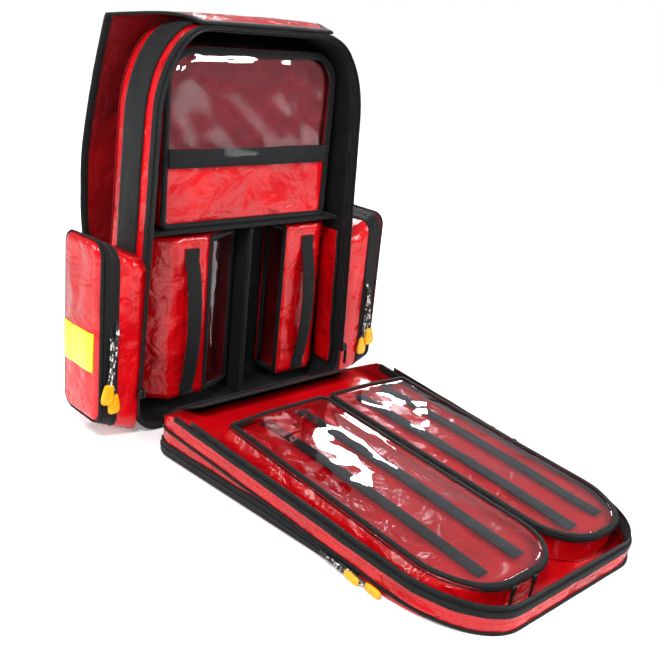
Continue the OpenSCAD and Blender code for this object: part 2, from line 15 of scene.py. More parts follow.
import bmesh
import bpy
from mathutils import Matrix, Vector, noise
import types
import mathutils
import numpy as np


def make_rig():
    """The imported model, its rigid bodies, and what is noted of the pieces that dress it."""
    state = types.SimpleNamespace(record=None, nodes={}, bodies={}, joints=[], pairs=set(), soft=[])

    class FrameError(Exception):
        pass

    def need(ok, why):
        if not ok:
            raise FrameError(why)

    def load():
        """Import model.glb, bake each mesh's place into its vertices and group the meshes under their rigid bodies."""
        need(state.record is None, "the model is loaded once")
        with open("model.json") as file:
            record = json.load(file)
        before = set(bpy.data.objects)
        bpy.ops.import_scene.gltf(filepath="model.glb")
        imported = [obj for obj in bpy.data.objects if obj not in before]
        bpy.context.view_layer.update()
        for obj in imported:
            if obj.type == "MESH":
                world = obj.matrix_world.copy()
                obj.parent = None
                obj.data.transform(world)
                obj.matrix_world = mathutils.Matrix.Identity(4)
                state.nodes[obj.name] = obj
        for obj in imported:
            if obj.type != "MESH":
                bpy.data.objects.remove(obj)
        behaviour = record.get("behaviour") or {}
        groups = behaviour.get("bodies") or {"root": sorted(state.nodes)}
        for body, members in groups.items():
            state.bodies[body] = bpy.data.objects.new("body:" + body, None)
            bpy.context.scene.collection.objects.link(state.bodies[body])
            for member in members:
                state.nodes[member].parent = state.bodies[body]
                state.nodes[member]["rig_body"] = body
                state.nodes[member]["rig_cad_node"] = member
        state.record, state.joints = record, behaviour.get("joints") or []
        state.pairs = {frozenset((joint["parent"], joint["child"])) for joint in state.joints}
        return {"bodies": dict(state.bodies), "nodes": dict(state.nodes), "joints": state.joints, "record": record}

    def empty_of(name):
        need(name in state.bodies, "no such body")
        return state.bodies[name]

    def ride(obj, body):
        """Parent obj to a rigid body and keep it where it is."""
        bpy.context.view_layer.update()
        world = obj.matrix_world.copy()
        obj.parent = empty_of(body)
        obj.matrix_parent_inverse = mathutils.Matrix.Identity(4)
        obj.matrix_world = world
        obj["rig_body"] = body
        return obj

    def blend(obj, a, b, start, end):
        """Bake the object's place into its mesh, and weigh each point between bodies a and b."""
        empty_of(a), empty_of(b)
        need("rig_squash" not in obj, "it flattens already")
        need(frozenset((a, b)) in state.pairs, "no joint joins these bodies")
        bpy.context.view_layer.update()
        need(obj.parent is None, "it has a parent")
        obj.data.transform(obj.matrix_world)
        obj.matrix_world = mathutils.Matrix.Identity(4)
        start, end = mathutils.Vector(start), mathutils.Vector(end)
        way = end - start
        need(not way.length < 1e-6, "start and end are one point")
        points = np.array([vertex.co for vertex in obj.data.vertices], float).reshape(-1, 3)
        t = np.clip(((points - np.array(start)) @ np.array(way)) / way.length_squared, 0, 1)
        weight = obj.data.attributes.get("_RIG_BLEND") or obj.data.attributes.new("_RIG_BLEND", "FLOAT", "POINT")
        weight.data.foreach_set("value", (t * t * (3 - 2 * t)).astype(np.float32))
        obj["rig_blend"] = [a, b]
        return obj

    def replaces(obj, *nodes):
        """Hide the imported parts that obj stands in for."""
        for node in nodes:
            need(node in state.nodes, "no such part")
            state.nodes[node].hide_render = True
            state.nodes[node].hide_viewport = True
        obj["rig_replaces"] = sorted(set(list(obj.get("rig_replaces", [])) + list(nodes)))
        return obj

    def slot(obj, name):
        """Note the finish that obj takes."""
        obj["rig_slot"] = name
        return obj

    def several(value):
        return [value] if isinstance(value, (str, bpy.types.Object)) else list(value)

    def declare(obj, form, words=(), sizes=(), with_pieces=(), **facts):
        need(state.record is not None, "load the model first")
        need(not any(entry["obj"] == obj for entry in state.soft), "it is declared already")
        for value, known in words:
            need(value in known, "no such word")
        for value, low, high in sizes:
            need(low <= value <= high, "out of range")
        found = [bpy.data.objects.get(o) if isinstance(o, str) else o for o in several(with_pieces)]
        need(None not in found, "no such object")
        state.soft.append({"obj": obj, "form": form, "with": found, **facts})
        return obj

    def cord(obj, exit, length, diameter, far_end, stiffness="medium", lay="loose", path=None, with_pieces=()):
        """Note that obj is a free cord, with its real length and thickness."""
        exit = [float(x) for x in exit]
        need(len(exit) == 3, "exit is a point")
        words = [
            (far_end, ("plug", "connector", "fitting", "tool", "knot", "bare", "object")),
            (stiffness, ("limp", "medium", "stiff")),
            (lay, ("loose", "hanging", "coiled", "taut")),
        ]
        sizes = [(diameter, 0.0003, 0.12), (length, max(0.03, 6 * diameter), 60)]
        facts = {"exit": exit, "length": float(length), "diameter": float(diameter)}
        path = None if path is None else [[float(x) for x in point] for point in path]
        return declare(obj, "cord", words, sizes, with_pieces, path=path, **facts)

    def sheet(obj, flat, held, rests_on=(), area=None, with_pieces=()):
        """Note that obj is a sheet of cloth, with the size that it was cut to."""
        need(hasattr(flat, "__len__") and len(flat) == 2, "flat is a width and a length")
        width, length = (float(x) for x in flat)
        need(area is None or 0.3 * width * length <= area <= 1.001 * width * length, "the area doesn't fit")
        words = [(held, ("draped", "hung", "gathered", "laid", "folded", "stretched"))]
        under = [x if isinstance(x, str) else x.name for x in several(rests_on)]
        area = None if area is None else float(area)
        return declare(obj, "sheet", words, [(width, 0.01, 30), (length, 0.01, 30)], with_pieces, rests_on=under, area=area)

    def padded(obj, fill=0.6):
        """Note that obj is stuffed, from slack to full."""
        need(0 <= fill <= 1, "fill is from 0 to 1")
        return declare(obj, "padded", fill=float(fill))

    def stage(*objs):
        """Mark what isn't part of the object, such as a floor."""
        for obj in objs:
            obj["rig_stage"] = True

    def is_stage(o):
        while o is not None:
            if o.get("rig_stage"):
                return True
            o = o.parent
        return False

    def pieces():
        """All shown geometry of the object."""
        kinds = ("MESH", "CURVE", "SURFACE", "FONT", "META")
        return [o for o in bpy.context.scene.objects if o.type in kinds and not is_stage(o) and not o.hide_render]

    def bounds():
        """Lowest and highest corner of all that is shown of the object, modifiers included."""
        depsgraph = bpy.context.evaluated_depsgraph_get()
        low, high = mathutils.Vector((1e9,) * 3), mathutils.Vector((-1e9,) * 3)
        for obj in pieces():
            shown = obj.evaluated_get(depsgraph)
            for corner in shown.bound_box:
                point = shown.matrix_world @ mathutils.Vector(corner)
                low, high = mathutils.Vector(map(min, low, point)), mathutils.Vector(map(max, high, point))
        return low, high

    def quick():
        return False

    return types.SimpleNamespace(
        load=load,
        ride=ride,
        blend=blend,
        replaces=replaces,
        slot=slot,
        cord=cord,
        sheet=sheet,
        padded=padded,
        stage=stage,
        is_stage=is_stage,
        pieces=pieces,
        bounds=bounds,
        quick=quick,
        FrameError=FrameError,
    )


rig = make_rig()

LOG = logging.getLogger("trauma_backpack")
MM = 0.001
# A wave texture of scale 1 repeats each 314 mm
WAVE_PER_M = 314.0
CLOTH_CELL, CLOTH_FRAMES, CLOTH_PRESSURE = 5, 20, 4.0
SIZE_FILE = "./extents.json"

Point = tuple[float, float, float]
Ring = list[Point]
Place = Callable[[float, float, float], Point]
Object, Material = bpy.types.Object, bpy.types.Material
Tree, Node, Socket = bpy.types.NodeTree, bpy.types.Node, bpy.types.NodeSocket


# ------------------------------------------------------------------ sizes and places


@dataclass(frozen=True)
class Sizes:
    """Sizes that several sub-assemblies share, in millimetres."""

    half_foot: float = 200.0
    half_top: float = 183.0
    height: float = 566.0
    depth: float = 96.0
    wall: float = 5.0
    foot_r: float = 42.0
    crown_w: float = 80.0
    crown_h: float = 130.0
    bind_t: float = 1.2
    bind_w: float = 12.0
    zip_w: float = 8.0
    zip_gap: float = 2.0
    cover_depth: float = 26.0
    cover_thick: float = 70.0
    floor_gap: float = 40.0
    cover_slope: float = 45.0

    @property
    def crown_z(self) -> float:
        """Height at which the rounded top corners start."""
        return self.height - self.crown_h

    @property
    def rim_y(self) -> float:
        """Edge of the shut cover."""
        return -(2 * self.bind_t + 2 * self.zip_w + self.zip_gap)

    @property
    def base_y(self) -> float:
        """Outer face of the shut cover, without its pocket."""
        return self.rim_y - self.cover_depth

    @property
    def outer_y(self) -> float:
        """Outer face of the cover's pocket, at the hinge."""
        return self.rim_y - self.cover_thick

    def lean_y(self, z: float) -> float:
        """Outer face of the cover's pocket at height z."""
        return self.outer_y + (self.cover_thick - self.cover_depth) * z / self.height

    @property
    def lean(self) -> float:
        """Angle between the cover and its outer face, in radians."""
        return math.atan((self.cover_thick - self.cover_depth) / self.height)

    @property
    def hinge(self) -> tuple[float, float]:
        """Where the axis of the cover's hinge lies, as y and z."""
        s, c = math.sin(self.lean), math.cos(self.lean)
        z = c * (-self.floor_gap - self.outer_y) / (2 + 2 * s)
        y = (1 + s) * (-self.floor_gap + s * self.outer_y) + c * c * self.outer_y
        return y / (2 + 2 * s), z

    def side_x(self, z: float) -> float:
        """Half width of the bag at height z, on its straight sides."""
        run = self.crown_z - self.foot_r
        return self.half_foot - (self.half_foot - self.half_top) * (z - self.foot_r) / run


SIZES = Sizes()


class Stand(Enum):
    """Where a drawn point ends up when the bag stands open."""

    BAG = "bag"
    COVER = "cover"

    def place(self, p: Sequence[float]) -> Vector:
        """Turns a drawn point into the part's frame.

        Args:
            p: A point in millimetres, as the piece is drawn.

        Returns:
            The point in metres, in the part's frame.
        """
        x, y, z = p
        if self is Stand.COVER:
            hy, hz = SIZES.hinge
            a = math.pi / 2 + SIZES.lean
            dy, dz = y - hy, z - hz
            y = hy + dy * math.cos(a) - dz * math.sin(a)
            z = hz + dy * math.sin(a) + dz * math.cos(a)
        return Vector((x, y - SIZES.depth / 2, z)) * MM

    def turn(self, v: Sequence[float]) -> Vector:
        """Turns a drawn direction into the part's frame."""
        return (self.place(v) - self.place((0, 0, 0))) / MM


def mix(a: float, b: float, t: float) -> float:
    """Value between a and b at share t."""
    return a + (b - a) * t


def smooth(t: float) -> float:
    """Eases t from 0 to 1, and holds it outside."""
    t = min(1.0, max(0.0, t))
    return t * t * (3 - 2 * t)


def ripple(p: Sequence[float], size: float, seed: int) -> float:
    """Soft noise from -1 to 1 at a drawn point.

    Args:
        p: The point in millimetres.
        size: Width of one swell in millimetres.
        seed: Which of the endless patterns to take.

    Returns:
        The height of the swell.
    """
    shift = Vector((17.3, 5.9, 9.7)) * seed
    return noise.noise(Vector(p) / size + shift)


def crease(p: Sequence[float], size: float, seed: int) -> float:
    """Sharp folds, as coated fabric makes: 0 between them and down to -1 along them."""
    return -((1 - min(1.0, abs(ripple(p, size, seed)) * 2.6)) ** 3)


@dataclass
class Contour:
    """A closed outline of rounded corners joined by straight runs.

    Args:
        arcs: Each corner as centre a, centre b, radius a, radius b, first and last angle.
        arc_steps: Points along each corner.
        runs: Steps along each straight run that follows a corner.
    """

    arcs: list[tuple[float, float, float, float, float, float]]
    arc_steps: Sequence[int]
    runs: Sequence[int]
    base: list[tuple[float, float, float, float]] = field(default_factory=list)

    def __post_init__(self) -> None:
        """Works out each point of the outline and the direction that faces out of it."""
        ends = []
        for arc, steps in zip(self.arcs, self.arc_steps):
            ca, cb, ra, rb, a0, a1 = arc
            ends.append([(ca + ra * math.cos(a), cb + rb * math.sin(a), math.cos(a), math.sin(a))
                    for a in (math.radians(mix(a0, a1, i / steps)) for i in range(steps + 1))])
        for i, points in enumerate(ends):
            self.base += points
            last, first = points[-1], ends[(i + 1) % len(ends)][0]
            for k in range(1, self.runs[i]):
                t = k / self.runs[i]
                self.base.append(tuple(mix(p, q, t) for p, q in zip(last, first)))

    def __len__(self) -> int:
        """Number of points."""
        return len(self.base)

    def at(self, i: int, inset: float = 0.0) -> tuple[float, float]:
        """Point i, drawn in by inset."""
        a, b, na, nb = self.base[i % len(self.base)]
        return a - na * inset, b - nb * inset

    def points(self, inset: float = 0.0, more: int = 0) -> list[tuple[float, float]]:
        """Every point, drawn in by inset, and then the first ones again if more are asked for."""
        return [self.at(i, inset) for i in range(len(self) + more)]


def corner_box(x0: float, x1: float, z0: float, z1: float, r: float, runs: Sequence[int],
               steps: int = 6) -> Contour:
    """Rounded rectangle as a contour, from the lower right corner round to the left."""
    return Contour([(x1 - r, z0 + r, r, r, -90, 0), (x1 - r, z1 - r, r, r, 0, 90),
            (x0 + r, z1 - r, r, r, 90, 180), (x0 + r, z0 + r, r, r, 180, 270)], [steps] * 4, runs)


def bag_rim() -> Contour:
    """The outline that the compartment and the cover share."""
    s = SIZES
    return Contour([(s.half_foot - s.foot_r, s.foot_r, s.foot_r, s.foot_r, -90, 0),
            (s.half_top - s.crown_w, s.crown_z, s.crown_w, s.crown_h, 0, 90),
            (s.crown_w - s.half_top, s.crown_z, s.crown_w, s.crown_h, 90, 180),
            (s.foot_r - s.half_foot, s.foot_r, s.foot_r, s.foot_r, 180, 270)], [7, 20, 20, 7],
        [48, 24, 48, 36])


RIM = bag_rim()


# ------------------------------------------------------------------ meshes


def facing_front(a: float, b: float, c: float) -> Point:
    """Places an outline of x and z at depth c."""
    return a, c, b


class Skin:
    """Points and faces of one piece while it is being made, in drawn millimetres."""

    def __init__(self) -> None:
        """Starts with nothing."""
        self.points: list[Point] = []
        self.faces: list[tuple[int, ...]] = []
        self.slots: list[int] = []

    def ring(self, points: Sequence[Point]) -> list[int]:
        """Adds points and returns their numbers."""
        start = len(self.points)
        self.points += [tuple(p) for p in points]
        return list(range(start, start + len(points)))

    def join(self, a: list[int], b: list[int], closed: bool, slot: int = 0) -> None:
        """Joins two rings of the same length with four-sided faces."""
        n = len(a)
        for i in range(n if closed else n - 1):
            j = (i + 1) % n
            self.faces.append((a[i], a[j], b[j], b[i]))
            self.slots.append(slot)

    def loft(self, rings: Sequence[Sequence[Point]], closed: bool = True, around: bool = False,
             slot: int = 0) -> list[list[int]]:
        """Skins a run of rings.

        Args:
            rings: The rings, each with the same number of points.
            closed: Whether each ring meets its own start.
            around: Whether the last ring meets the first.
            slot: Which of the piece's finishes the faces take.

        Returns:
            The point numbers of each ring.
        """
        made = [self.ring(r) for r in rings]
        for a, b in zip(made, made[1:] + ([made[0]] if around else [])):
            self.join(a, b, closed, slot)
        return made

    def rod(self, rings: Sequence[Sequence[Point]], steps: int = 1, slot: int = 0) -> None:
        """Skins a run of rings and closes both its ends."""
        made = self.loft(rings, slot=slot)
        self.cap(made[0], steps, slot, flip=True)
        self.cap(made[-1], steps, slot)

    def cap(self, ring: list[int], steps: int = 6, slot: int = 0, flip: bool = False,
            lift: Optional[Callable[[float, Point], Point]] = None) -> None:
        """Closes a ring with smaller and smaller rings round its middle.

        Args:
            ring: The point numbers of the ring.
            steps: How many rings there are on the way in.
            slot: Which of the piece's finishes the faces take.
            flip: Whether the faces point the other way.
            lift: Moves a point, given its share of the way in.
        """
        rim = [Vector(self.points[i]) for i in ring]
        middle = sum(rim, Vector()) / len(rim)
        last = ring
        for k in range(1, steps):
            t = k / steps
            row = [tuple(p.lerp(middle, t)) for p in rim]
            new = self.ring([lift(t, p) for p in row] if lift else row)
            self.join(*((new, last) if flip else (last, new)), True, slot)
            last = new
        centre = self.ring([lift(1.0, tuple(middle)) if lift else tuple(middle)])[0]
        for i, a in enumerate(last):
            b = last[(i + 1) % len(last)]
            self.faces.append((b, a, centre) if flip else (a, b, centre))
            self.slots.append(slot)

    def tube(self, path: Sequence[Point], radius: Callable[[float], float],
            sides: int = 10) -> None:
        """Adds a closed round tube along a path, whose radius depends on the share of the way."""
        steps = [Vector(p) for p in path]
        normal = Vector((0.31, 0.87, 0.23))
        rings = []
        for i, p in enumerate(steps):
            along = (steps[min(i + 1, len(steps) - 1)] - steps[max(i - 1, 0)]).normalized()
            normal = (normal - along * normal.dot(along)).normalized()
            side = along.cross(normal)
            r = radius(i / (len(steps) - 1))
            rings.append([tuple(p + (normal * math.cos(a) + side * math.sin(a)) * r)
                    for a in (2 * math.pi * k / sides for k in range(sides))])
        self.rod(rings)

    def strap(self, path: Sequence[Point], across: Sequence[float], width: float, thick: float,
              slot: int = 0) -> None:
        """Adds a flat strap along a path.

        Args:
            path: The strap's middle line.
            across: The direction of its width.
            width: Its width.
            thick: Its thickness.
            slot: Which of the piece's finishes it takes.
        """
        w, t, b = width / 2, thick / 2, thick * 0.3
        profile = [(-w + b, t), (-w / 3, t), (w / 3, t), (w - b, t), (w, t - b), (w, b - t),
            (w - b, -t), (w / 3, -t), (-w / 3, -t), (-w + b, -t), (-w, b - t), (-w, t - b)]
        side = Vector(across).normalized()
        steps = [Vector(p) for p in path]
        n, rings = len(steps), []
        for i, p in enumerate(steps):
            ahead = steps[min(i + 1, n - 1)] - steps[max(i - 1, 0)]
            out = ahead.normalized().cross(side).normalized()
            rings.append([tuple(p + side * u + out * v) for u, v in profile])
        self.rod(rings, slot=slot)

    def plate(self, shape: Contour, low: float, high: float,
              place: Place, edge: float, slot: int = 0) -> None:
        """Adds a plate with softened edges from an outline that turns anticlockwise."""
        outline = shape.points()
        middle = Vector((sum(p[0] for p in outline), sum(p[1] for p in outline))) / len(outline)
        rings = []
        for depth, inset in ((low, 1.0), (low + edge * 0.3, 0.3), (low + edge, 0.0),
                             (high - edge, 0.0), (high - edge * 0.3, 0.3), (high, 1.0)):
            row = []
            for p in outline:
                away = Vector(p) - middle
                q = Vector(p) - away.normalized() * min(edge * inset, away.length * 0.5)
                row.append(place(q[0], q[1], depth))
            rings.append(row)
        self.rod(rings, 2, slot)

    def make(self, name: str, stand: Stand, finishes: Sequence[Material]) -> Object:
        """Makes the piece as an object in the part's frame, with its faces turned outwards.

        Args:
            name: The piece's name.
            stand: Where its drawn points go.
            finishes: Its materials, in the order of its slots.

        Returns:
            The new object.
        """
        mesh = bpy.data.meshes.new(name)
        mesh.from_pydata([stand.place(p) for p in self.points], [], self.faces)
        for finish in finishes:
            mesh.materials.append(finish)
        mesh.polygons.foreach_set("material_index", self.slots)
        mesh.polygons.foreach_set("use_smooth", [True] * len(mesh.polygons))
        mesh.update()
        piece = bpy.data.objects.new(name, mesh)
        bpy.context.scene.collection.objects.link(piece)
        return piece


def turn_outwards(piece: Object) -> None:
    """Makes the faces of a closed piece point outwards."""
    work = bmesh.new()
    work.from_mesh(piece.data)
    bmesh.ops.remove_doubles(work, verts=work.verts, dist=1e-6)
    bmesh.ops.recalc_face_normals(work, faces=work.faces)
    work.to_mesh(piece.data)
    work.free()


def thicken(piece: Object, thick: float, offset: float = -1.0, inner_slot: int = 0) -> None:
    """Gives a sheet its thickness in millimetres with a live modifier."""
    solid = piece.modifiers.new("wall", "SOLIDIFY")
    solid.thickness = thick * MM
    solid.offset = offset
    solid.use_even_offset = False
    solid.material_offset = inner_slot


def refine(piece: Object) -> None:
    """Rounds a piece with a live subdivision."""
    soft = piece.modifiers.new("soft", "SUBSURF")
    soft.levels = soft.render_levels = 1


def face(piece: Object, ahead: Sequence[float]) -> None:
    """Turns a sheet over if most of its faces point away from a direction in the part's frame."""
    if sum(f.normal.dot(Vector(ahead)) for f in piece.data.polygons) < 0:
        piece.data.flip_normals()


def snapshot(thing: Object) -> bpy.types.Mesh:
    """The mesh of an object with its modifiers applied."""
    return bpy.data.meshes.new_from_object(
        thing.evaluated_get(bpy.context.evaluated_depsgraph_get()))


def puff(piece: Object, flat_y: float, most: float = 2.2) -> None:
    """Blows a pad up as cloth under pressure, with its flat side held.

    Args:
        piece: The closed pad, whose mesh is changed.
        flat_y: Drawn depth up to which the pad is held.
        most: Farthest that a point may move, in millimetres.
    """
    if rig.quick():
        return
    scene = bpy.context.scene
    even = piece.modifiers.new("even", "REMESH")
    even.mode, even.voxel_size, even.use_smooth_shade = "VOXEL", CLOTH_CELL * MM, True
    mesh = snapshot(piece)
    piece.modifiers.remove(even)
    before = [v.co.copy() for v in mesh.vertices]
    trial = bpy.data.objects.new(f"{piece.name}_trial", mesh)
    scene.collection.objects.link(trial)
    limit = Stand.BAG.place((0, flat_y, 0))[1]
    held = trial.vertex_groups.new(name="held")
    held.add([v.index for v in mesh.vertices if v.co[1] < limit], 1.0, "REPLACE")
    cloth = trial.modifiers.new("cloth", "CLOTH")
    cloth.settings.quality = 6
    cloth.settings.mass = 0.3
    cloth.settings.use_pressure = True
    cloth.settings.uniform_pressure_force = CLOTH_PRESSURE
    cloth.settings.effector_weights.gravity = 0.0
    cloth.settings.vertex_group_mass = "held"
    cloth.point_cache.frame_start, cloth.point_cache.frame_end = 1, CLOTH_FRAMES
    for frame in range(1, CLOTH_FRAMES + 1):
        scene.frame_set(frame)
    blown = snapshot(trial)
    bpy.data.objects.remove(trial)
    scene.frame_set(1)
    far = 0.0
    for vertex, start in zip(blown.vertices, before):
        move = vertex.co - start
        far = max(far, move.length)
        vertex.co = start + move.normalized() * min(move.length, most * MM)
    if not all(math.isfinite(c) for v in blown.vertices for c in v.co):
        LOG.warning("%s keeps its drawn shape", piece.name)
        return
    blown.materials.clear()
    for finish in piece.data.materials:
        blown.materials.append(finish)
    blown.polygons.foreach_set("use_smooth", [True] * len(blown.polygons))
    piece.data = blown
    LOG.info("%s: pressure moves it up to %.1f mm, held to %.1f", piece.name, far / MM, most)


def settle(piece: Object, body: str, slot: str, *stands_for: str) -> Object:
    """Hands a finished piece to the frame.

    Args:
        piece: The finished object.
        body: The body that it rides on.
        slot: The record's material slot.
        stands_for: The nodes that it replaces.

    Returns:
        The same object.
    """
    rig.ride(piece, body)
    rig.slot(piece, slot)
    if stands_for:
        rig.replaces(piece, *stands_for)
    LOG.info("%s rides on %s with %d faces", piece.name, body, len(piece.data.polygons))
    return piece


def dress(skin: Skin, name: str, finishes: Sequence[Material], body: str, slot: str,
          *stands_for: str, stand: Stand = Stand.BAG, wall: float = 0.0, offset: float = -1.0,
          inner_slot: int = 0, rounded: bool = False,
          facing: Optional[Sequence[float]] = None) -> Object:
    """Makes a piece, turns its faces outwards, finishes it and hands it to the frame.

    Args:
        skin: Its points and faces.
        name: Its name.
        finishes: Its materials, in the order of its slots.
        body: The body that it rides on.
        slot: The record's material slot.
        *stands_for: The nodes that it replaces.
        stand: Where its drawn points go.
        wall: The thickness of a sheet, or 0 for a closed piece.
        offset: Where that thickness lies: -1 inside the sheet, 0 on both sides of it.
        inner_slot: How many slots further the sheet's inner side takes its finish.
        rounded: Whether it is subdivided.
        facing: The direction that an open sheet's faces turn to.

    Returns:
        The finished piece.
    """
    piece = skin.make(name, stand, finishes)
    turn_outwards(piece)
    if facing:
        face(piece, facing)
    if rounded:
        refine(piece)
    if wall:
        thicken(piece, wall, offset, inner_slot)
    return settle(piece, body, slot, *stands_for)


# ------------------------------------------------------------------ finishes


def linear(colour: str, alpha: float = 1.0) -> tuple[float, float, float, float]:
    """Turns an sRGB hex colour into linear values."""
    values = [int(colour[i:i + 2], 16) / 255 for i in (1, 3, 5)]
    r, g, b = (v / 12.92 if v <= 0.04045 else ((v + 0.055) / 1.055) ** 2.4 for v in values)
    return r, g, b, alpha


def add(tree: Tree, kind: str, inputs: Optional[dict] = None, **settings: object) -> Node:
    """Adds a node with its settings, values and links.

    Args:
        tree: The tree that gets it.
        kind: The node's type name.
        inputs: Values, or sockets to link, by input name or number.
        **settings: The node's own properties.

    Returns:
        The new node.
    """
    made = tree.nodes.new(kind)
    for name, value in settings.items():
        setattr(made, name, value)
    for name, value in (inputs or {}).items():
        if isinstance(value, bpy.types.NodeSocket):
            tree.links.new(value, made.inputs[name])
        else:
            made.inputs[name].default_value = value
    return made


def blank(name: str) -> tuple[Material, Tree, Socket]:
    """A new material, its node tree, and the object's own coordinates in it."""
    material = bpy.data.materials.new(name)
    material.use_nodes = True
    tree = material.node_tree
    tree.nodes.clear()
    return material, tree, add(tree, "ShaderNodeTexCoord").outputs["Object"]


def threads(tree: Tree, where: Socket, scale: float, distortion: float = 0.0) -> Socket:
    """Height of threads that run along all three axes."""
    waves = [add(tree, "ShaderNodeTexWave",
            {"Vector": where, "Scale": scale, "Distortion": distortion},
            bands_direction=axis).outputs["Fac"] for axis in "XYZ"]
    pair = add(tree, "ShaderNodeMath", {0: waves[0], 1: waves[1]}, operation="ADD")
    return add(tree, "ShaderNodeMath", {0: pair.outputs[0], 1: waves[2]},
        operation="ADD").outputs[0]


def ramp(tree: Tree, factor: Socket,
         stops: Sequence[tuple[float, str]]) -> Socket:
    """Colours a value through the given stops, and returns the colour."""
    made = add(tree, "ShaderNodeValToRGB", {"Fac": factor})
    elements = made.color_ramp.elements
    while len(elements) < len(stops):
        elements.new(0.5)
    for element, (place, colour) in zip(elements, stops):
        element.position = place
        element.color = linear(colour)
    return made.outputs["Color"]


@dataclass(frozen=True)
class CoatedFabric:
    """PVC-coated polyester tarpaulin, calendered to a gloss: it crumples into soft folds, and
    the weave under the coating shows as a fine grid.
    """

    name: str
    light: str
    dark: str
    roughness: float = 0.15
    crumple: float = 0.85
    crumple_size: float = 42.0

    def make(self) -> Material:
        """Builds the material."""
        material, tree, where = blank(self.name)
        broad = add(tree, "ShaderNodeTexNoise", {"Vector": where, "Scale": 9.0, "Detail": 3.0})
        colour = ramp(tree, broad.outputs["Fac"], [(0.3, self.dark), (0.62, self.light)])
        folds = add(tree, "ShaderNodeTexNoise", {"Vector": where, "Scale": 1000 / self.crumple_size,
                "Detail": 3.0, "Roughness": 0.45, "Distortion": 0.6})
        folded = add(tree, "ShaderNodeBump",
            {"Height": folds.outputs["Fac"], "Strength": self.crumple, "Distance": 0.011})
        # The scrim's threads are 1 mm apart; they are drawn 2.2 mm apart, or they wouldn't show
        woven = add(tree, "ShaderNodeBump",
            {"Height": threads(tree, where, 142.0), "Normal": folded.outputs["Normal"],
                "Strength": 0.1, "Distance": 0.0004})
        worn = add(tree, "ShaderNodeMapRange",
            {"Value": folds.outputs["Fac"], "To Min": self.roughness - 0.05,
                "To Max": self.roughness + 0.1})
        shader = add(tree, "ShaderNodeBsdfPrincipled",
            {"Base Color": colour, "Roughness": worn.outputs["Result"],
                "Normal": woven.outputs["Normal"], "IOR": 1.5, "Coat Weight": 0.25,
                "Coat Roughness": 0.07})
        add(tree, "ShaderNodeOutputMaterial", {"Surface": shader.outputs["BSDF"]})
        return material


@dataclass(frozen=True)
class WovenTextile:
    """Nylon or polyester textile: webbing, binding, zip tape, lining or air mesh. It is matt,
    with a soft sheen at a slant, and its threads or ribs show as fine bumps.
    """

    name: str
    light: str
    dark: str
    thread: float = 2.4
    roughness: float = 0.72
    sheen: float = 0.25
    relief: float = 0.35
    holes: bool = False

    def make(self) -> Material:
        """Builds the material."""
        material, tree, where = blank(self.name)
        soft = add(tree, "ShaderNodeTexNoise", {"Vector": where, "Scale": 40.0, "Detail": 4.0})
        if self.holes:
            cells = add(tree, "ShaderNodeTexVoronoi", {"Vector": where, "Scale": 1000 / self.thread,
                    "Randomness": 0.15})
            height = cells.outputs["Distance"]
        else:
            height = threads(tree, where, WAVE_PER_M / self.thread, 0.3)
        tint = add(tree, "ShaderNodeMath", {0: soft.outputs["Fac"], 1: height},
            operation="MULTIPLY")
        colour = ramp(tree, tint.outputs[0], [(0.15, self.dark), (0.9, self.light)])
        swell = add(tree, "ShaderNodeBump", {"Height": soft.outputs["Fac"], "Strength": 0.3,
                "Distance": 0.0015})
        bump = add(tree, "ShaderNodeBump", {"Height": height, "Normal": swell.outputs["Normal"],
                "Strength": self.relief, "Distance": 0.0006})
        shader = add(tree, "ShaderNodeBsdfPrincipled",
            {"Base Color": colour, "Roughness": self.roughness, "Normal": bump.outputs["Normal"],
                "Sheen Weight": self.sheen, "Sheen Roughness": 0.4, "IOR": 1.5,
                "Specular IOR Level": 0.28})
        add(tree, "ShaderNodeOutputMaterial", {"Surface": shader.outputs["BSDF"]})
        return material


@dataclass(frozen=True)
class MouldedPlastic:
    """Injection-moulded acetal or nylon: a satin skin with the mould's fine grain."""

    name: str
    light: str
    dark: str
    roughness: float = 0.38

    def make(self) -> Material:
        """Builds the material."""
        material, tree, where = blank(self.name)
        cloud = add(tree, "ShaderNodeTexNoise", {"Vector": where, "Scale": 120.0, "Detail": 3.0})
        colour = ramp(tree, cloud.outputs["Fac"], [(0.3, self.dark), (0.7, self.light)])
        grain = add(tree, "ShaderNodeTexNoise", {"Vector": where, "Scale": 1400.0, "Detail": 2.0})
        bump = add(tree, "ShaderNodeBump", {"Height": grain.outputs["Fac"], "Strength": 0.15,
                "Distance": 0.0002})
        shader = add(tree, "ShaderNodeBsdfPrincipled",
            {"Base Color": colour, "Roughness": self.roughness, "Normal": bump.outputs["Normal"],
                "IOR": 1.48})
        add(tree, "ShaderNodeOutputMaterial", {"Surface": shader.outputs["BSDF"]})
        return material


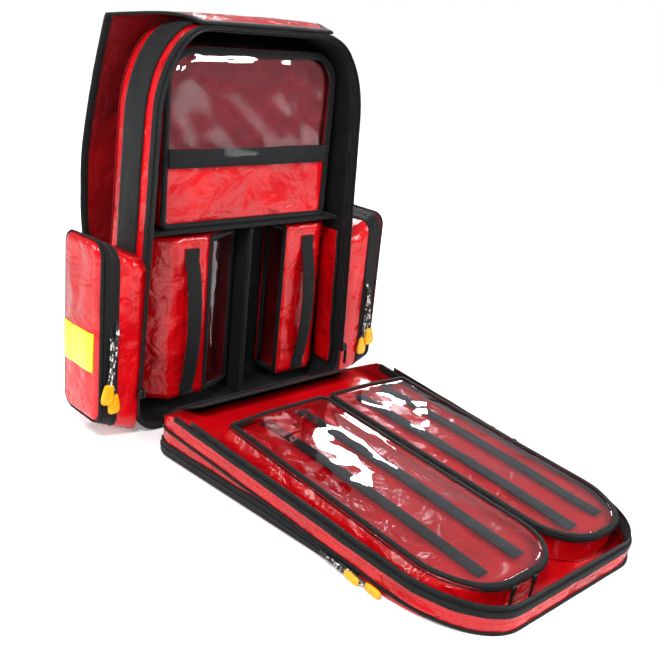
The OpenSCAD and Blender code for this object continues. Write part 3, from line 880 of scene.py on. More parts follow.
@dataclass(frozen=True)
class ClearVinyl:
    """Clear soft vinyl sheet, calendered: it wrinkles in long soft waves that catch the light."""

    name: str
    wave: float = 58.0
    strength: float = 0.28

    def make(self) -> Material:
        """Builds the material. Light on its way to what lies behind passes straight through."""
        material, tree, where = blank(self.name)
        long = add(tree, "ShaderNodeMapping", {"Vector": where, "Scale": (1.0, 0.55, 0.7)})
        waves = add(tree, "ShaderNodeTexNoise",
            {"Vector": long.outputs["Vector"], "Scale": 1000 / self.wave, "Detail": 1.0,
                "Distortion": 0.7})
        bump = add(tree, "ShaderNodeBump",
            {"Height": waves.outputs["Fac"], "Strength": self.strength, "Distance": 0.006})
        colour = ramp(tree, waves.outputs["Fac"], [(0.3, "#EDEFF2"), (0.7, "#FFFFFF")])
        shader = add(tree, "ShaderNodeBsdfGlossy",
            {"Color": colour, "Roughness": 0.025, "Normal": bump.outputs["Normal"]})
        through = add(tree, "ShaderNodeBsdfTransparent", {"Color": linear("#F4F4F6")})
        rays = add(tree, "ShaderNodeLightPath")
        dim = add(tree, "ShaderNodeMath",
            {0: rays.outputs["Is Shadow Ray"], 1: rays.outputs["Is Diffuse Ray"]},
            operation="MAXIMUM")
        facing = add(tree, "ShaderNodeLayerWeight",
            {"Blend": 0.5, "Normal": bump.outputs["Normal"]})
        slant = add(tree, "ShaderNodeMath", {0: facing.outputs["Facing"], 1: 3.4},
            operation="POWER")
        part = add(tree, "ShaderNodeMapRange",
            {"Value": slant.outputs[0], "To Min": 0.05, "To Max": 0.75})
        sharp = add(tree, "ShaderNodeMixShader", {0: part.outputs[0], 1: through.outputs["BSDF"],
                2: shader.outputs["BSDF"]})
        both = add(tree, "ShaderNodeMixShader", {0: dim.outputs[0], 1: sharp.outputs["Shader"],
                2: through.outputs["BSDF"]})
        add(tree, "ShaderNodeOutputMaterial", {"Surface": both.outputs["Shader"]})
        return material


@dataclass(frozen=True)
class ReflectiveFilm:
    """Fluorescent prismatic film: small cells under a clear gloss skin, with a faint painted glow of its own."""

    name: str
    cell: float = 5.0

    def make(self) -> Material:
        """Builds the material."""
        material, tree, where = blank(self.name)
        cells = add(tree, "ShaderNodeTexVoronoi", {"Vector": where, "Scale": 1000 / self.cell,
                "Randomness": 0.1}, feature="DISTANCE_TO_EDGE")
        colour = ramp(tree, cells.outputs["Distance"], [(0.02, "#C9D81F"), (0.14, "#E9FF2E")])
        bump = add(tree, "ShaderNodeBump", {"Height": cells.outputs["Distance"], "Strength": 0.3,
                "Distance": 0.0005})
        # The emission is a painted glow: the film gives off a little lime light of its own, though it is no lamp.
        shader = add(tree, "ShaderNodeBsdfPrincipled",
            {"Base Color": colour, "Roughness": 0.28, "Normal": bump.outputs["Normal"],
                "Coat Weight": 0.6, "Coat Roughness": 0.08, "IOR": 1.5,
                "Emission Color": linear("#DDF51F"), "Emission Strength": 0.12})
        add(tree, "ShaderNodeOutputMaterial", {"Surface": shader.outputs["BSDF"]})
        return material


@dataclass(frozen=True)
class FleckedCord:
    """Braided accessory cord: black with white tracer threads that show as short flecks."""

    name: str

    def make(self) -> Material:
        """Builds the material."""
        material, tree, where = blank(self.name)
        cells = add(tree, "ShaderNodeTexVoronoi",
            {"Vector": where, "Scale": 300.0, "Randomness": 0.9})
        pick = add(tree, "ShaderNodeSeparateColor", {"Color": cells.outputs["Color"]})
        colour = ramp(tree, pick.outputs["Red"], [(0.66, "#191C1E"), (0.76, "#E8E4DA")])
        bump = add(tree, "ShaderNodeBump", {"Height": cells.outputs["Distance"], "Strength": 0.6,
                "Distance": 0.0006})
        shader = add(tree, "ShaderNodeBsdfPrincipled",
            {"Base Color": colour, "Roughness": 0.7, "Normal": bump.outputs["Normal"],
                "Sheen Weight": 0.2})
        add(tree, "ShaderNodeOutputMaterial", {"Surface": shader.outputs["BSDF"]})
        return material


class Palette:
    """Every finish of the bag, made once."""

    def __init__(self) -> None:
        """Makes the materials."""
        self.red = CoatedFabric("red_tarpaulin_gloss", "#E00814", "#B8040E").make()
        self.red_flat = CoatedFabric("red_tarpaulin_stretched", "#DE0814", "#B4040D", 0.22, 0.4,
            60.0).make()
        self.red_back = CoatedFabric("red_tarpaulin_reverse", "#9A0610", "#6E030A", 0.42, 0.4,
            30.0).make()
        self.reds = [self.red, self.red_back]
        self.netting = WovenTextile("red_netting", "#C81828", "#7E0C18", 2.6, 0.6, 0.05, 0.6,
            True).make()
        self.lining = WovenTextile("black_nylon_lining", "#121416", "#08090A", 3.0, 0.62,
            0.06).make()
        self.webbing = WovenTextile("black_webbing", "#121416", "#070708", 2.6, 0.66, 0.1,
            0.6).make()
        self.binding = WovenTextile("black_edge_binding", "#0F1112", "#060607", 2.0, 0.62, 0.08,
            0.5).make()
        self.tape = WovenTextile("zip_tape", "#131517", "#070809", 1.8, 0.66, 0.08, 0.4).make()
        self.air_mesh = WovenTextile("air_mesh", "#1E2224", "#0A0B0C", 4.0, 0.8, 0.1, 0.9,
            True).make()
        self.elastic = WovenTextile("grey_elastic", "#2C2F32", "#17191B", 2.2, 0.66, 0.1,
            0.5).make()
        self.thread = WovenTextile("seam_thread", "#2A2D30", "#15171A", 1.2, 0.6, 0.1, 0.3).make()
        self.red_thread = WovenTextile("red_seam_thread", "#F04048", "#C21A24", 1.2, 0.55, 0.2,
            0.3).make()
        self.teeth = MouldedPlastic("nylon_zip_coil", "#26292B", "#151718", 0.32).make()
        self.plastic = MouldedPlastic("black_acetal", "#1F2224", "#141617", 0.36).make()
        self.orange = MouldedPlastic("orange_moulding", "#FFC61A", "#F5A800", 0.34).make()
        self.clear = ClearVinyl("clear_vinyl_window").make()
        self.lime = ReflectiveFilm("lime_reflective_film").make()
        self.cord = FleckedCord("flecked_cord").make()


# ------------------------------------------------------------------ what repeats along a path


class Repeat(Enum):
    """What Geometry Nodes lay along a path."""

    STITCH = "stitch"
    TOOTH = "tooth"


class Row(Enum):
    """What a row is made of, with its pitch, length and thickness in millimetres."""

    BACK_SEAM = (Repeat.STITCH, 3.6, 2.6, 0.7)
    COVER_SEAM = (Repeat.STITCH, 3.6, 2.6, 0.8)
    BINDING_STITCH = (Repeat.STITCH, 3.4, 2.3, 0.7)
    TOPSTITCH = (Repeat.STITCH, 3.4, 2.4, 0.7)
    CARRY_STITCH = (Repeat.STITCH, 3.8, 2.6, 0.8)
    HOOK_STITCH = (Repeat.STITCH, 3.6, 2.5, 0.8)
    BAR_TACK = (Repeat.STITCH, 3.0, 2.2, 0.8)
    MAIN_COIL = (Repeat.TOOTH, 2.6, 2.2, 1.7)
    COIL = (Repeat.TOOTH, 2.6, 2.8, 1.8)
    POCKET_COIL = (Repeat.TOOTH, 2.8, 3.0, 2.0)


class Sewing:
    """Lays stitches and zip teeth along paths with Geometry Nodes."""

    def __init__(self, palette: Palette) -> None:
        """Builds one tree for each thing that repeats."""
        self.palette = palette
        self.trees = {kind: self.tree(kind) for kind in Repeat}

    @staticmethod
    def tree(kind: Repeat) -> Tree:
        """Builds the tree that spaces one small shape along a path.

        Args:
            kind: Which shape it repeats.

        Returns:
            The tree.
        """
        tree = bpy.data.node_groups.new(f"lay_{kind.value}", "GeometryNodeTree")
        sockets = tree.interface
        sockets.new_socket("Path", in_out="INPUT", socket_type="NodeSocketGeometry")
        for name in ("Pitch", "Length", "Thickness"):
            sockets.new_socket(name, in_out="INPUT", socket_type="NodeSocketFloat")
        sockets.new_socket("Across", in_out="INPUT", socket_type="NodeSocketVector")
        sockets.new_socket("Finish", in_out="INPUT", socket_type="NodeSocketMaterial")
        sockets.new_socket("Row", in_out="OUTPUT", socket_type="NodeSocketGeometry")
        given = tree.nodes.new("NodeGroupInput").outputs
        curve = add(tree, "GeometryNodeMeshToCurve", {"Mesh": given["Path"]})
        spaced = add(tree, "GeometryNodeCurveToPoints",
            {"Curve": curve.outputs["Curve"], "Length": given["Pitch"]}, mode="LENGTH")
        along = add(tree, "FunctionNodeAlignRotationToVector",
            {"Vector": spaced.outputs["Tangent"]}, axis="Z")
        level = add(tree, "FunctionNodeAlignRotationToVector",
            {"Rotation": along.outputs["Rotation"], "Vector": given["Across"]}, axis="X",
            pivot_axis="Z")
        sizes = [given[name] for name in ("Thickness", "Thickness", "Length")]
        if kind is Repeat.STITCH:
            shape = add(tree, "GeometryNodeMeshIcoSphere", {"Radius": 0.5, "Subdivisions": 1})
            unit = shape.outputs["Mesh"]
        else:
            sizes.reverse()
            shape = add(tree, "GeometryNodeMeshCylinder",
                {"Vertices": 6, "Radius": 0.5, "Depth": 1.0})
            unit = add(tree, "GeometryNodeTransform",
                {"Geometry": shape.outputs["Mesh"],
                    "Rotation": (0.0, math.pi / 2, 0.0)}).outputs["Geometry"]
        size = add(tree, "ShaderNodeCombineXYZ", dict(zip("XYZ", sizes)))
        laid = add(tree, "GeometryNodeInstanceOnPoints",
            {"Points": spaced.outputs["Points"], "Instance": unit,
                "Rotation": level.outputs["Rotation"], "Scale": size.outputs["Vector"]})
        real = add(tree, "GeometryNodeRealizeInstances", {"Geometry": laid.outputs["Instances"]})
        dressed = add(tree, "GeometryNodeSetMaterial",
            {"Geometry": real.outputs["Geometry"], "Material": given["Finish"]})
        add(tree, "NodeGroupOutput", {"Row": dressed.outputs["Geometry"]})
        return tree

    def lay(self, name: str, row: Row, paths: Sequence[Sequence[Point]], body: str, slot: str,
            stand: Stand = Stand.BAG, across: Sequence[float] = (0, 1, 0),
            finish: Optional[Material] = None) -> Object:
        """Lays a row of stitches or teeth along each path, as one piece.

        Args:
            name: The piece's name.
            row: What is laid, and how large.
            paths: The paths, in drawn millimetres.
            body: The body that the row rides on.
            slot: The record's material slot.
            stand: Where the drawn points go.
            across: The direction across the row, as drawn.
            finish: Its material, or the usual one.

        Returns:
            The row as a plain mesh.
        """
        kind, pitch, length, thick = row.value
        points, edges = [], []
        for path in paths:
            start = len(points)
            points += [stand.place(p) for p in path]
            edges += [(i, i + 1) for i in range(start, len(points) - 1)]
        mesh = bpy.data.meshes.new(f"{name}_path")
        mesh.from_pydata(points, edges, [])
        guide = bpy.data.objects.new(f"{name}_path", mesh)
        bpy.context.scene.collection.objects.link(guide)
        usual = self.palette.thread if kind is Repeat.STITCH else self.palette.teeth
        values = {"Pitch": pitch * MM, "Length": length * MM, "Thickness": thick * MM,
            "Across": tuple(stand.turn(across)), "Finish": finish or usual}
        layer = guide.modifiers.new("row", "NODES")
        layer.node_group = self.trees[kind]
        for item in layer.node_group.interface.items_tree:
            if item.in_out == "INPUT" and item.name in values:
                layer[item.identifier] = values[item.name]
        made = snapshot(guide)
        bpy.data.objects.remove(guide)
        made.name = name
        piece = bpy.data.objects.new(name, made)
        bpy.context.scene.collection.objects.link(piece)
        return settle(piece, body, slot)


@dataclass
class Workshop:
    """What every sub-assembly is made with."""

    palette: Palette
    sewing: Sewing


# ------------------------------------------------------------------ main compartment


def rim_span(lowest: float) -> list[int]:
    """Numbers of the outline's points from the right over the top to the left, above a height."""
    return [i for i in range(len(RIM)) if RIM.at(i)[1] >= lowest]


def rim_point(i: int, y: float, out: float) -> Point:
    """A point of the bag's outline at depth y, pushed outwards by out."""
    x, z = RIM.at(i, -out)
    return x, y, max(z, 0.3)


def folded_binding(skin: Skin, y_edge: float, inward: int, wall: float, seed: int,
                   numbers: Sequence[int], closed: bool, leg: float) -> None:
    """Adds the binding that is folded round the edge of a wall.

    Args:
        skin: The piece.
        y_edge: Where the wall's edge lies.
        inward: 1 if the wall runs towards +y from its edge, otherwise -1.
        wall: The wall's thickness.
        seed: Which ripple it takes.
        numbers: The outline's points that it follows.
        closed: Whether it goes all the way round.
        leg: How far it reaches down the outside of the wall.
    """
    t, w = SIZES.bind_t, SIZES.bind_w - SIZES.bind_t
    profile = [(t, leg), (t + 0.4, leg * 0.45), (t, -t * 0.3), (t * 0.5, -t), (-wall - t * 0.5, -t),
        (-wall - t, -t * 0.3), (-wall - t - 0.4, w * 0.45), (-wall - t, w), (-wall - 0.1, w),
        (-wall, 0.2), (0.0, 0.2), (0.1, leg)]
    rings = []
    for i in numbers:
        x, z = RIM.at(i)
        sway = 0.7 * ripple((x, y_edge, z), 24, seed)
        slip = 1.3 * ripple((x, y_edge, z), 17, seed + 1)
        rings.append([rim_point(i, y_edge + inward * (v + (slip if v > 2 else 0.0)),
                    out + (sway if z > 12 else 0.0)) for out, v in profile])
    made = skin.loft(rings, around=closed)
    if not closed:
        skin.cap(made[0], 2, flip=True)
        skin.cap(made[-1], 2)


@dataclass
class Compartment:
    """The main compartment: shell, lining, edge binding, zip, shelf, dividers and webbing."""

    shop: Workshop
    lining_t: float = 1.2
    zip_foot: float = 60.0
    shelf_z: float = 283.0
    shelf_t: float = 5.0
    shelf_y: float = 26.0
    divider: tuple[float, float] = (8.0, 12.0)
    webbing_w: float = 48.0
    webbing_t: float = 2.2
    webbing_foot: float = 240.0
    pocket_z: tuple[float, float] = (32.0, 263.0)

    @staticmethod
    def belly(i: int, y: float) -> float:
        """How far the wall swells outwards at point i of the outline and depth y."""
        x, z = RIM.at(i)
        if z < 18:
            return 0.0
        p = (x, y, z)
        span = math.sin(math.pi * min(1.0, max(0.0, (y - 8) / 84)))
        return span * smooth((z - 18) / 60) * (1.7 + 1.6 * ripple(p, 80, 1) + 1.4 * crease(p, 95, 2)
            + 0.5 * ripple(p, 26, 3))

    def build(self) -> None:
        """Builds every piece of the compartment."""
        self.shell()
        self.lining()
        self.edge()
        self.boards()
        self.inner_pocket()
        self.webbing()

    def shell(self) -> None:
        """Padded tarpaulin walls, swollen between their seams."""
        skin = Skin()
        levels = [(0.0, 0.0), (4.0, 0.0), (10.0, 0.0)]
        levels += [(14.0 + 6.0 * k, 0.0) for k in range(13)]
        levels += [(91.0, 0.6), (94.0, 2.6), (95.6, 6.0), (96.0, 12.0)]
        rings = [[rim_point(i, y, self.belly(i, y) - e) for i in range(len(RIM))]
            for y, e in levels]
        made = skin.loft(rings)
        skin.cap(made[-1], 12, lift=lambda t, p: (p[0], p[1] - 1.0 * abs(ripple(p, 70, 4)), p[2]))
        pal = self.shop.palette
        dress(skin, "compartment_shell", pal.reds, "bag", "red_tarpaulin", "main_shell",
            wall=SIZES.wall, inner_slot=1)
        seam = [rim_point(i, 92.0, self.belly(i, 92.0) + 0.5) for i in rim_span(30)]
        self.shop.sewing.lay("compartment_back_seam", Row.BACK_SEAM, [seam], "bag", "red_tarpaulin",
            finish=pal.red_thread)

    def lining(self) -> None:
        """Nylon lining, with a padded lip across the floor."""
        skin = Skin()
        inset = SIZES.wall + 0.2
        back = SIZES.depth - SIZES.wall - 0.2
        rings = [[(x, y, z) for x, z in (RIM.at(i, inset + 0.5 + 0.5 * ripple((*RIM.at(i), y), 40,
                    6)) for i in range(len(RIM)))] for y in (3.0, 14.0, 26.0, 38.0, 50.0, 62.0,
                74.0, 84.0, back - 0.8)]
        made = skin.loft(rings)
        skin.cap(made[-1], 10, lift=lambda t, p: (p[0], p[1] + 0.5, p[2]))
        dress(skin, "compartment_lining", [self.shop.palette.lining], "bag", "black_lining",
            "main_lining", wall=self.lining_t * 0.6)
        lip = Skin()
        half = SIZES.half_foot - SIZES.foot_r - 9
        rings = []
        for k in range(61):
            x = mix(-half, half, k / 60)
            top = 25.5 - 1.6 * abs(ripple((x, 0, 0), 30, 8)) - 12 * (abs(x) / half) ** 14
            y = 5.0 + 0.8 * ripple((x, 0, 0), 45, 9)
            rings.append([(x, y - 2, 6.6), (x, y - 2.1, 16), (x, y - 1.6, top - 1.5), (x, y, top),
                    (x, y + 1.6, top - 1.5), (x, y + 2.1, 16), (x, y + 2, 6.6)])
        lip.rod(rings, 2)
        dress(lip, "compartment_floor_lip", [self.shop.palette.lining], "bag", "black_lining",
            "main_lining")

    def edge(self) -> None:
        """Folded binding round the opening, with this side's half of the main zip."""
        pal = self.shop.palette
        skin = Skin()
        folded_binding(skin, 0.0, 1, SIZES.wall, 10, range(len(RIM)), True, 9.0)
        dress(skin, "compartment_binding", [pal.binding], "bag", "black_webbing", "body_binding",
            rounded=True)
        numbers = rim_span(self.zip_foot)
        middle = -SIZES.bind_t - SIZES.zip_w / 2
        path = [rim_point(i, middle, -2.5 + 0.5 * ripple((*RIM.at(i), 0), 30, 12)) for i in numbers]
        tape = Skin()
        tape.strap(path, (0, 1, 0), SIZES.zip_w - 0.4, 0.9)
        dress(tape, "compartment_zip_tape", [pal.tape], "bag", "black_zip", "body_zip")
        coil = [(x, middle - SIZES.zip_w / 2 + 1.1, z) for x, _, z in path]
        self.shop.sewing.lay("compartment_zip_teeth", Row.MAIN_COIL, [coil], "bag", "black_zip")
        seam = [rim_point(i, 7.0, 1.9 + 0.7 * ripple((RIM.at(i)[0], 0.0, RIM.at(i)[1]), 24, 10))
            for i in rim_span(14)]
        self.shop.sewing.lay("compartment_binding_stitches", Row.BINDING_STITCH, [seam], "bag",
            "black_webbing")

    def boards(self) -> None:
        """Padded shelf and upright divider, each with piping on its front edge."""
        pal = self.shop.palette
        z0, z1 = self.shelf_z + 0.2, self.shelf_z + self.shelf_t
        half = SIZES.side_x(z1) - 6.6
        skin = Skin()
        skin.plate(corner_box(-half, half, self.shelf_y, 89.0, 3.0, [16, 40, 16, 40]), z0, z1,
            lambda a, b, c: (a, b, c), 2.0)
        dress(skin, "shelf_board", [pal.lining], "bag", "black_lining", "shelf_divider")
        pipe = Skin()
        pipe.tube([(x, self.shelf_y - 0.6, z0 + 1.4 + 0.6 * ripple((x, 0, 0), 50, 14))
                for x in (mix(-half, half, k / 60) for k in range(61))], lambda t: 2.7)
        x0, x1 = self.divider
        pipe.tube([((x0 + x1) / 2 + 0.7 * ripple((0, 0, z), 45, 15), self.shelf_y + 1.4, z)
                for z in (mix(8, z0 - 3, k / 50) for k in range(51))], lambda t: 3.0)
        dress(pipe, "board_piping", [pal.binding], "bag", "black_lining", "shelf_divider",
            "centre_divider")
        skin = Skin()
        skin.plate(corner_box(self.shelf_y + 2, 89.4, 6.6, z0 - 0.4, 3.0, [40, 16, 40, 16]),
            x0 + 0.2, x1 - 0.2, lambda a, b, c: (c + 0.5 * ripple((0, a, b), 70, 16), a, b), 1.4)
        dress(skin, "upright_divider", [pal.lining], "bag", "black_lining", "centre_divider")

    def inner_pocket(self) -> None:
        """Flat pocket on the right wall, whose front edge waves."""
        pal = self.shop.palette
        rows, edge = [], []
        for k in range(49):
            z = mix(*self.pocket_z, k / 48)
            wall = SIZES.side_x(max(z, SIZES.foot_r)) - 7.4
            start = 15 + 2.5 * ripple((0, 0, z), 40, 18)
            row = []
            for j in range(9):
                u = j / 8
                away = 5.5 * (1 - u) ** 1.5 * (0.6 + 0.6 * ripple((0, 0, z), 55, 19))
                row.append((wall - max(0.0, away) - 0.4 * ripple((0, u * 40, z), 22, 20),
                        mix(start, 59, u), z))
            rows.append(row)
            edge.append((row[0][0], row[0][1], z))
        skin = Skin()
        skin.loft(rows, closed=False)
        dress(skin, "inner_side_pocket_cloth", pal.reds, "bag", "red_tarpaulin",
            "inner_side_pocket", wall=1.2, offset=0.0)
        hem = Skin()
        hem.tube(edge, lambda t: 2.0, 8)
        dress(hem, "inner_side_pocket_hem", [pal.binding], "bag", "red_tarpaulin",
            "inner_side_pocket")

    def webbing(self) -> None:
        """Wide webbing up both sides and over the top, which lies on the walls."""
        numbers = rim_span(self.webbing_foot)
        y0, y1 = SIZES.depth / 2 - self.webbing_w / 2, SIZES.depth / 2 + self.webbing_w / 2
        columns = [mix(y0, y1, k / 10) for k in range(11)]
        rings = []
        for i in numbers:
            x, z = RIM.at(i)
            lift = 0.4 + 0.5 * abs(ripple((x, 0, z), 60, 22))
            outer = [rim_point(i, y, self.belly(i, y) + self.webbing_t + lift) for y in columns]
            inner = [rim_point(i, y, self.belly(i, y) + 0.2) for y in reversed(columns)]
            rings.append(outer + inner)
        skin = Skin()
        skin.rod(rings)
        piece = skin.make("carry_webbing_strap", Stand.BAG, [self.shop.palette.webbing])
        turn_outwards(piece)
        bevel = piece.modifiers.new("edge", "BEVEL")
        bevel.width = 0.6 * MM
        bevel.limit_method = "ANGLE"
        settle(piece, "bag", "black_webbing", "carry_webbing")
        rows = [[rim_point(i, y, self.belly(i, y) + self.webbing_t + 0.8) for i in numbers]
            for y in (y0 + 3, y1 - 3)]
        self.shop.sewing.lay("carry_webbing_stitches", Row.CARRY_STITCH, rows, "bag",
            "black_webbing")


# ------------------------------------------------------------------ harness and its cover


@dataclass
class Harness:
    """Back padding, shoulder straps, hip belt and chest strap, stowed against the back."""

    shop: Workshop
    back_y: float = 96.0
    back_t: float = 10.0
    back_half: float = 139.0
    back_span: tuple[float, float] = (97.0, 515.0)
    pad_t: float = 12.0
    shoulder_w: float = 62.0
    shoulder_span: tuple[float, float] = (489.0, 229.0)
    chest_z: float = 380.0
    hip_z: float = 122.0
    hip_h: float = 88.0

    def pad(self, name: str, path: Sequence[tuple[float, float]], half: float, thick: float,
            base: float, body: str, slot: str, ends: float, seams: Sequence[float],
            *nodes: str) -> None:
        """Makes a foam pad that lies against the back and crowns away from it.

        Args:
            name: The piece's name.
            path: Its middle line in x and z.
            half: Half its width.
            thick: Its thickness.
            base: Depth of its flat side.
            body: The body that it rides on.
            slot: The record's material slot.
            ends: How far its rounded ends reach, as a share of its length.
            seams: Shares of its length at which a sewn channel crosses it.
            *nodes: The nodes that it replaces.
        """
        steps = [Vector(p) for p in path]
        n = len(steps) - 1
        rings = []
        for k in range(n * 3 + 1):
            t = k / (n * 3)
            at = min(n - 1, int(t * n))
            p = steps[at].lerp(steps[at + 1], t * n - at)
            before, after = steps[max(at - 1, 0)], steps[min(at + 2, n)]
            along = (after - before).normalized()
            side = Vector((-along[1], along[0]))
            near = min(t, 1 - t) / ends
            w = half * (1 - (1 - min(1.0, near)) ** 3) + 0.4
            dip = sum(math.exp(-((t - s) * n * 3 / 2.2) ** 2) for s in seams)
            h = thick * (0.3 + 0.7 * smooth(near * 1.6)) * (1 - 0.45 * min(1.0, dip))
            row = []
            for j in range(17):
                u = mix(-1, 1, j / 16)
                crown = (1 - abs(u) ** 3.2) ** 0.55 if abs(u) < 1 else 0.0
                q = p + side * w * u
                row.append((q[0], base + 0.5 + (h - 0.6) * crown + 0.3 * ripple((q[0], 0, q[1]), 30,
                            30), q[1]))
            row += [(p[0] + side[0] * w * u, base + 0.15, p[1] + side[1] * w * u)
                for u in (0.97, 0.4, -0.4, -0.97)]
            rings.append(row)
        skin = Skin()
        skin.rod(rings, 2)
        piece = skin.make(name, Stand.BAG, [self.shop.palette.air_mesh])
        turn_outwards(piece)
        puff(piece, base + 1.5)
        refine(piece)
        settle(piece, body, slot, *nodes)
        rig.padded(piece, fill=0.7)

    def build(self) -> None:
        """Builds the harness."""
        pal = self.shop.palette
        foot, top = self.back_span
        self.pad("back_padding", [(0.0, mix(foot, top, k / 20)) for k in range(21)], self.back_half,
            self.back_t, self.back_y, "bag", "black_padding", 0.1, [0.2, 0.4, 0.6, 0.8], "back_pad")
        base = self.back_y + self.back_t + 0.2
        for side, word in ((-1, "left"), (1, "right")):
            path = [(side * (52 + 40 * math.sin(math.pi * k / 16)),
                    mix(*self.shoulder_span, k / 16)) for k in range(17)]
            self.pad(f"shoulder_pad_{word}", path, self.shoulder_w / 2 - 0.5, self.pad_t - 0.4,
                base, "bag", "black_padding", 0.12, [0.3, 0.62], f"shoulder_strap_{word}")
            web = Skin()
            web.strap([(side * mix(52, 118, k / 12), base + self.pad_t + 0.8, mix(250, 142, k / 12))
                    for k in range(13)], (1, 0, side * 0.6), 25, 1.6)
            dress(web, f"shoulder_adjuster_{word}", [pal.webbing], "bag", "black_webbing",
                f"shoulder_strap_{word}")
            body = "hip_belt_left" if side < 0 else "bag"
            self.pad(f"hip_wing_pad_{word}",
                [(side * mix(163, 47, k / 10), self.hip_z + self.hip_h / 2) for k in range(11)],
                self.hip_h / 2 - 0.5, self.pad_t - 1.2, base + 0.2, body, "black_padding", 0.2,
                [0.5], f"hip_wing_{word}")
        self.buckle()
        self.chest()

    def buckle(self) -> None:
        """Side-release buckle: a plug with two prongs, and its socket."""
        pal, z, y = self.shop.palette, self.hip_z + self.hip_h / 2, self.back_y + self.back_t + 0.4
        plug = Skin()
        plug.plate(corner_box(-45.5, -14.5, z - 21.5, z + 21.5, 6, [4, 4, 4, 4]), y, y + 8.4,
            facing_front, 2.0)
        for s in (-1, 1):
            plug.plate(corner_box(-16.0, 11.6, z + s * 12 - 2.8, z + s * 12 + 2.8, 2, [3, 2, 3, 2],
                    4), y + 2.6, y + 6.2, facing_front, 0.8)
        dress(plug, "hip_buckle_plug_moulding", [pal.plastic], "hip_belt_left", "black_plastic",
            "hip_buckle_plug")
        socket = Skin()
        rings = []
        for x, inset in ((-13.4, 1.2), (-12.4, 0.0), (38, 0.0), (44, 1.5), (45.6, 4.0)):
            box = corner_box(y, y + 8.5, z - 21.6, z + 21.6, 3.6, [2, 6, 2, 6], 5)
            rings.append([(x, *box.at(i, min(inset, 3.0))) for i in range(len(box))])
        made = socket.loft(rings)
        socket.cap(made[-1], 3)
        dress(socket, "hip_buckle_socket_moulding", [pal.plastic], "bag", "black_plastic",
            "hip_buckle_socket", wall=1.6)

    def chest(self) -> None:
        """Chest strap with its buckle."""
        pal, y, z = self.shop.palette, self.back_y + self.back_t + self.pad_t, self.chest_z
        web = Skin()
        for x0 in (-99.0, 19.0):
            web.strap([(x0 + 80 * k / 12, y + 1.2 + 0.2 * math.sin(k), z) for k in range(13)],
                (0, 0, 1), 25, 1.5)
        dress(web, "chest_strap_webbing", [pal.webbing], "bag", "black_webbing", "chest_strap")
        clip = Skin()
        clip.plate(corner_box(-19.6, 19.6, z - 16.6, z + 16.6, 7, [4, 4, 4, 4]), y - 2.6, y + 5.6,
            facing_front, 2.2)
        dress(clip, "chest_strap_clip", [pal.plastic], "bag", "black_webbing", "chest_strap")


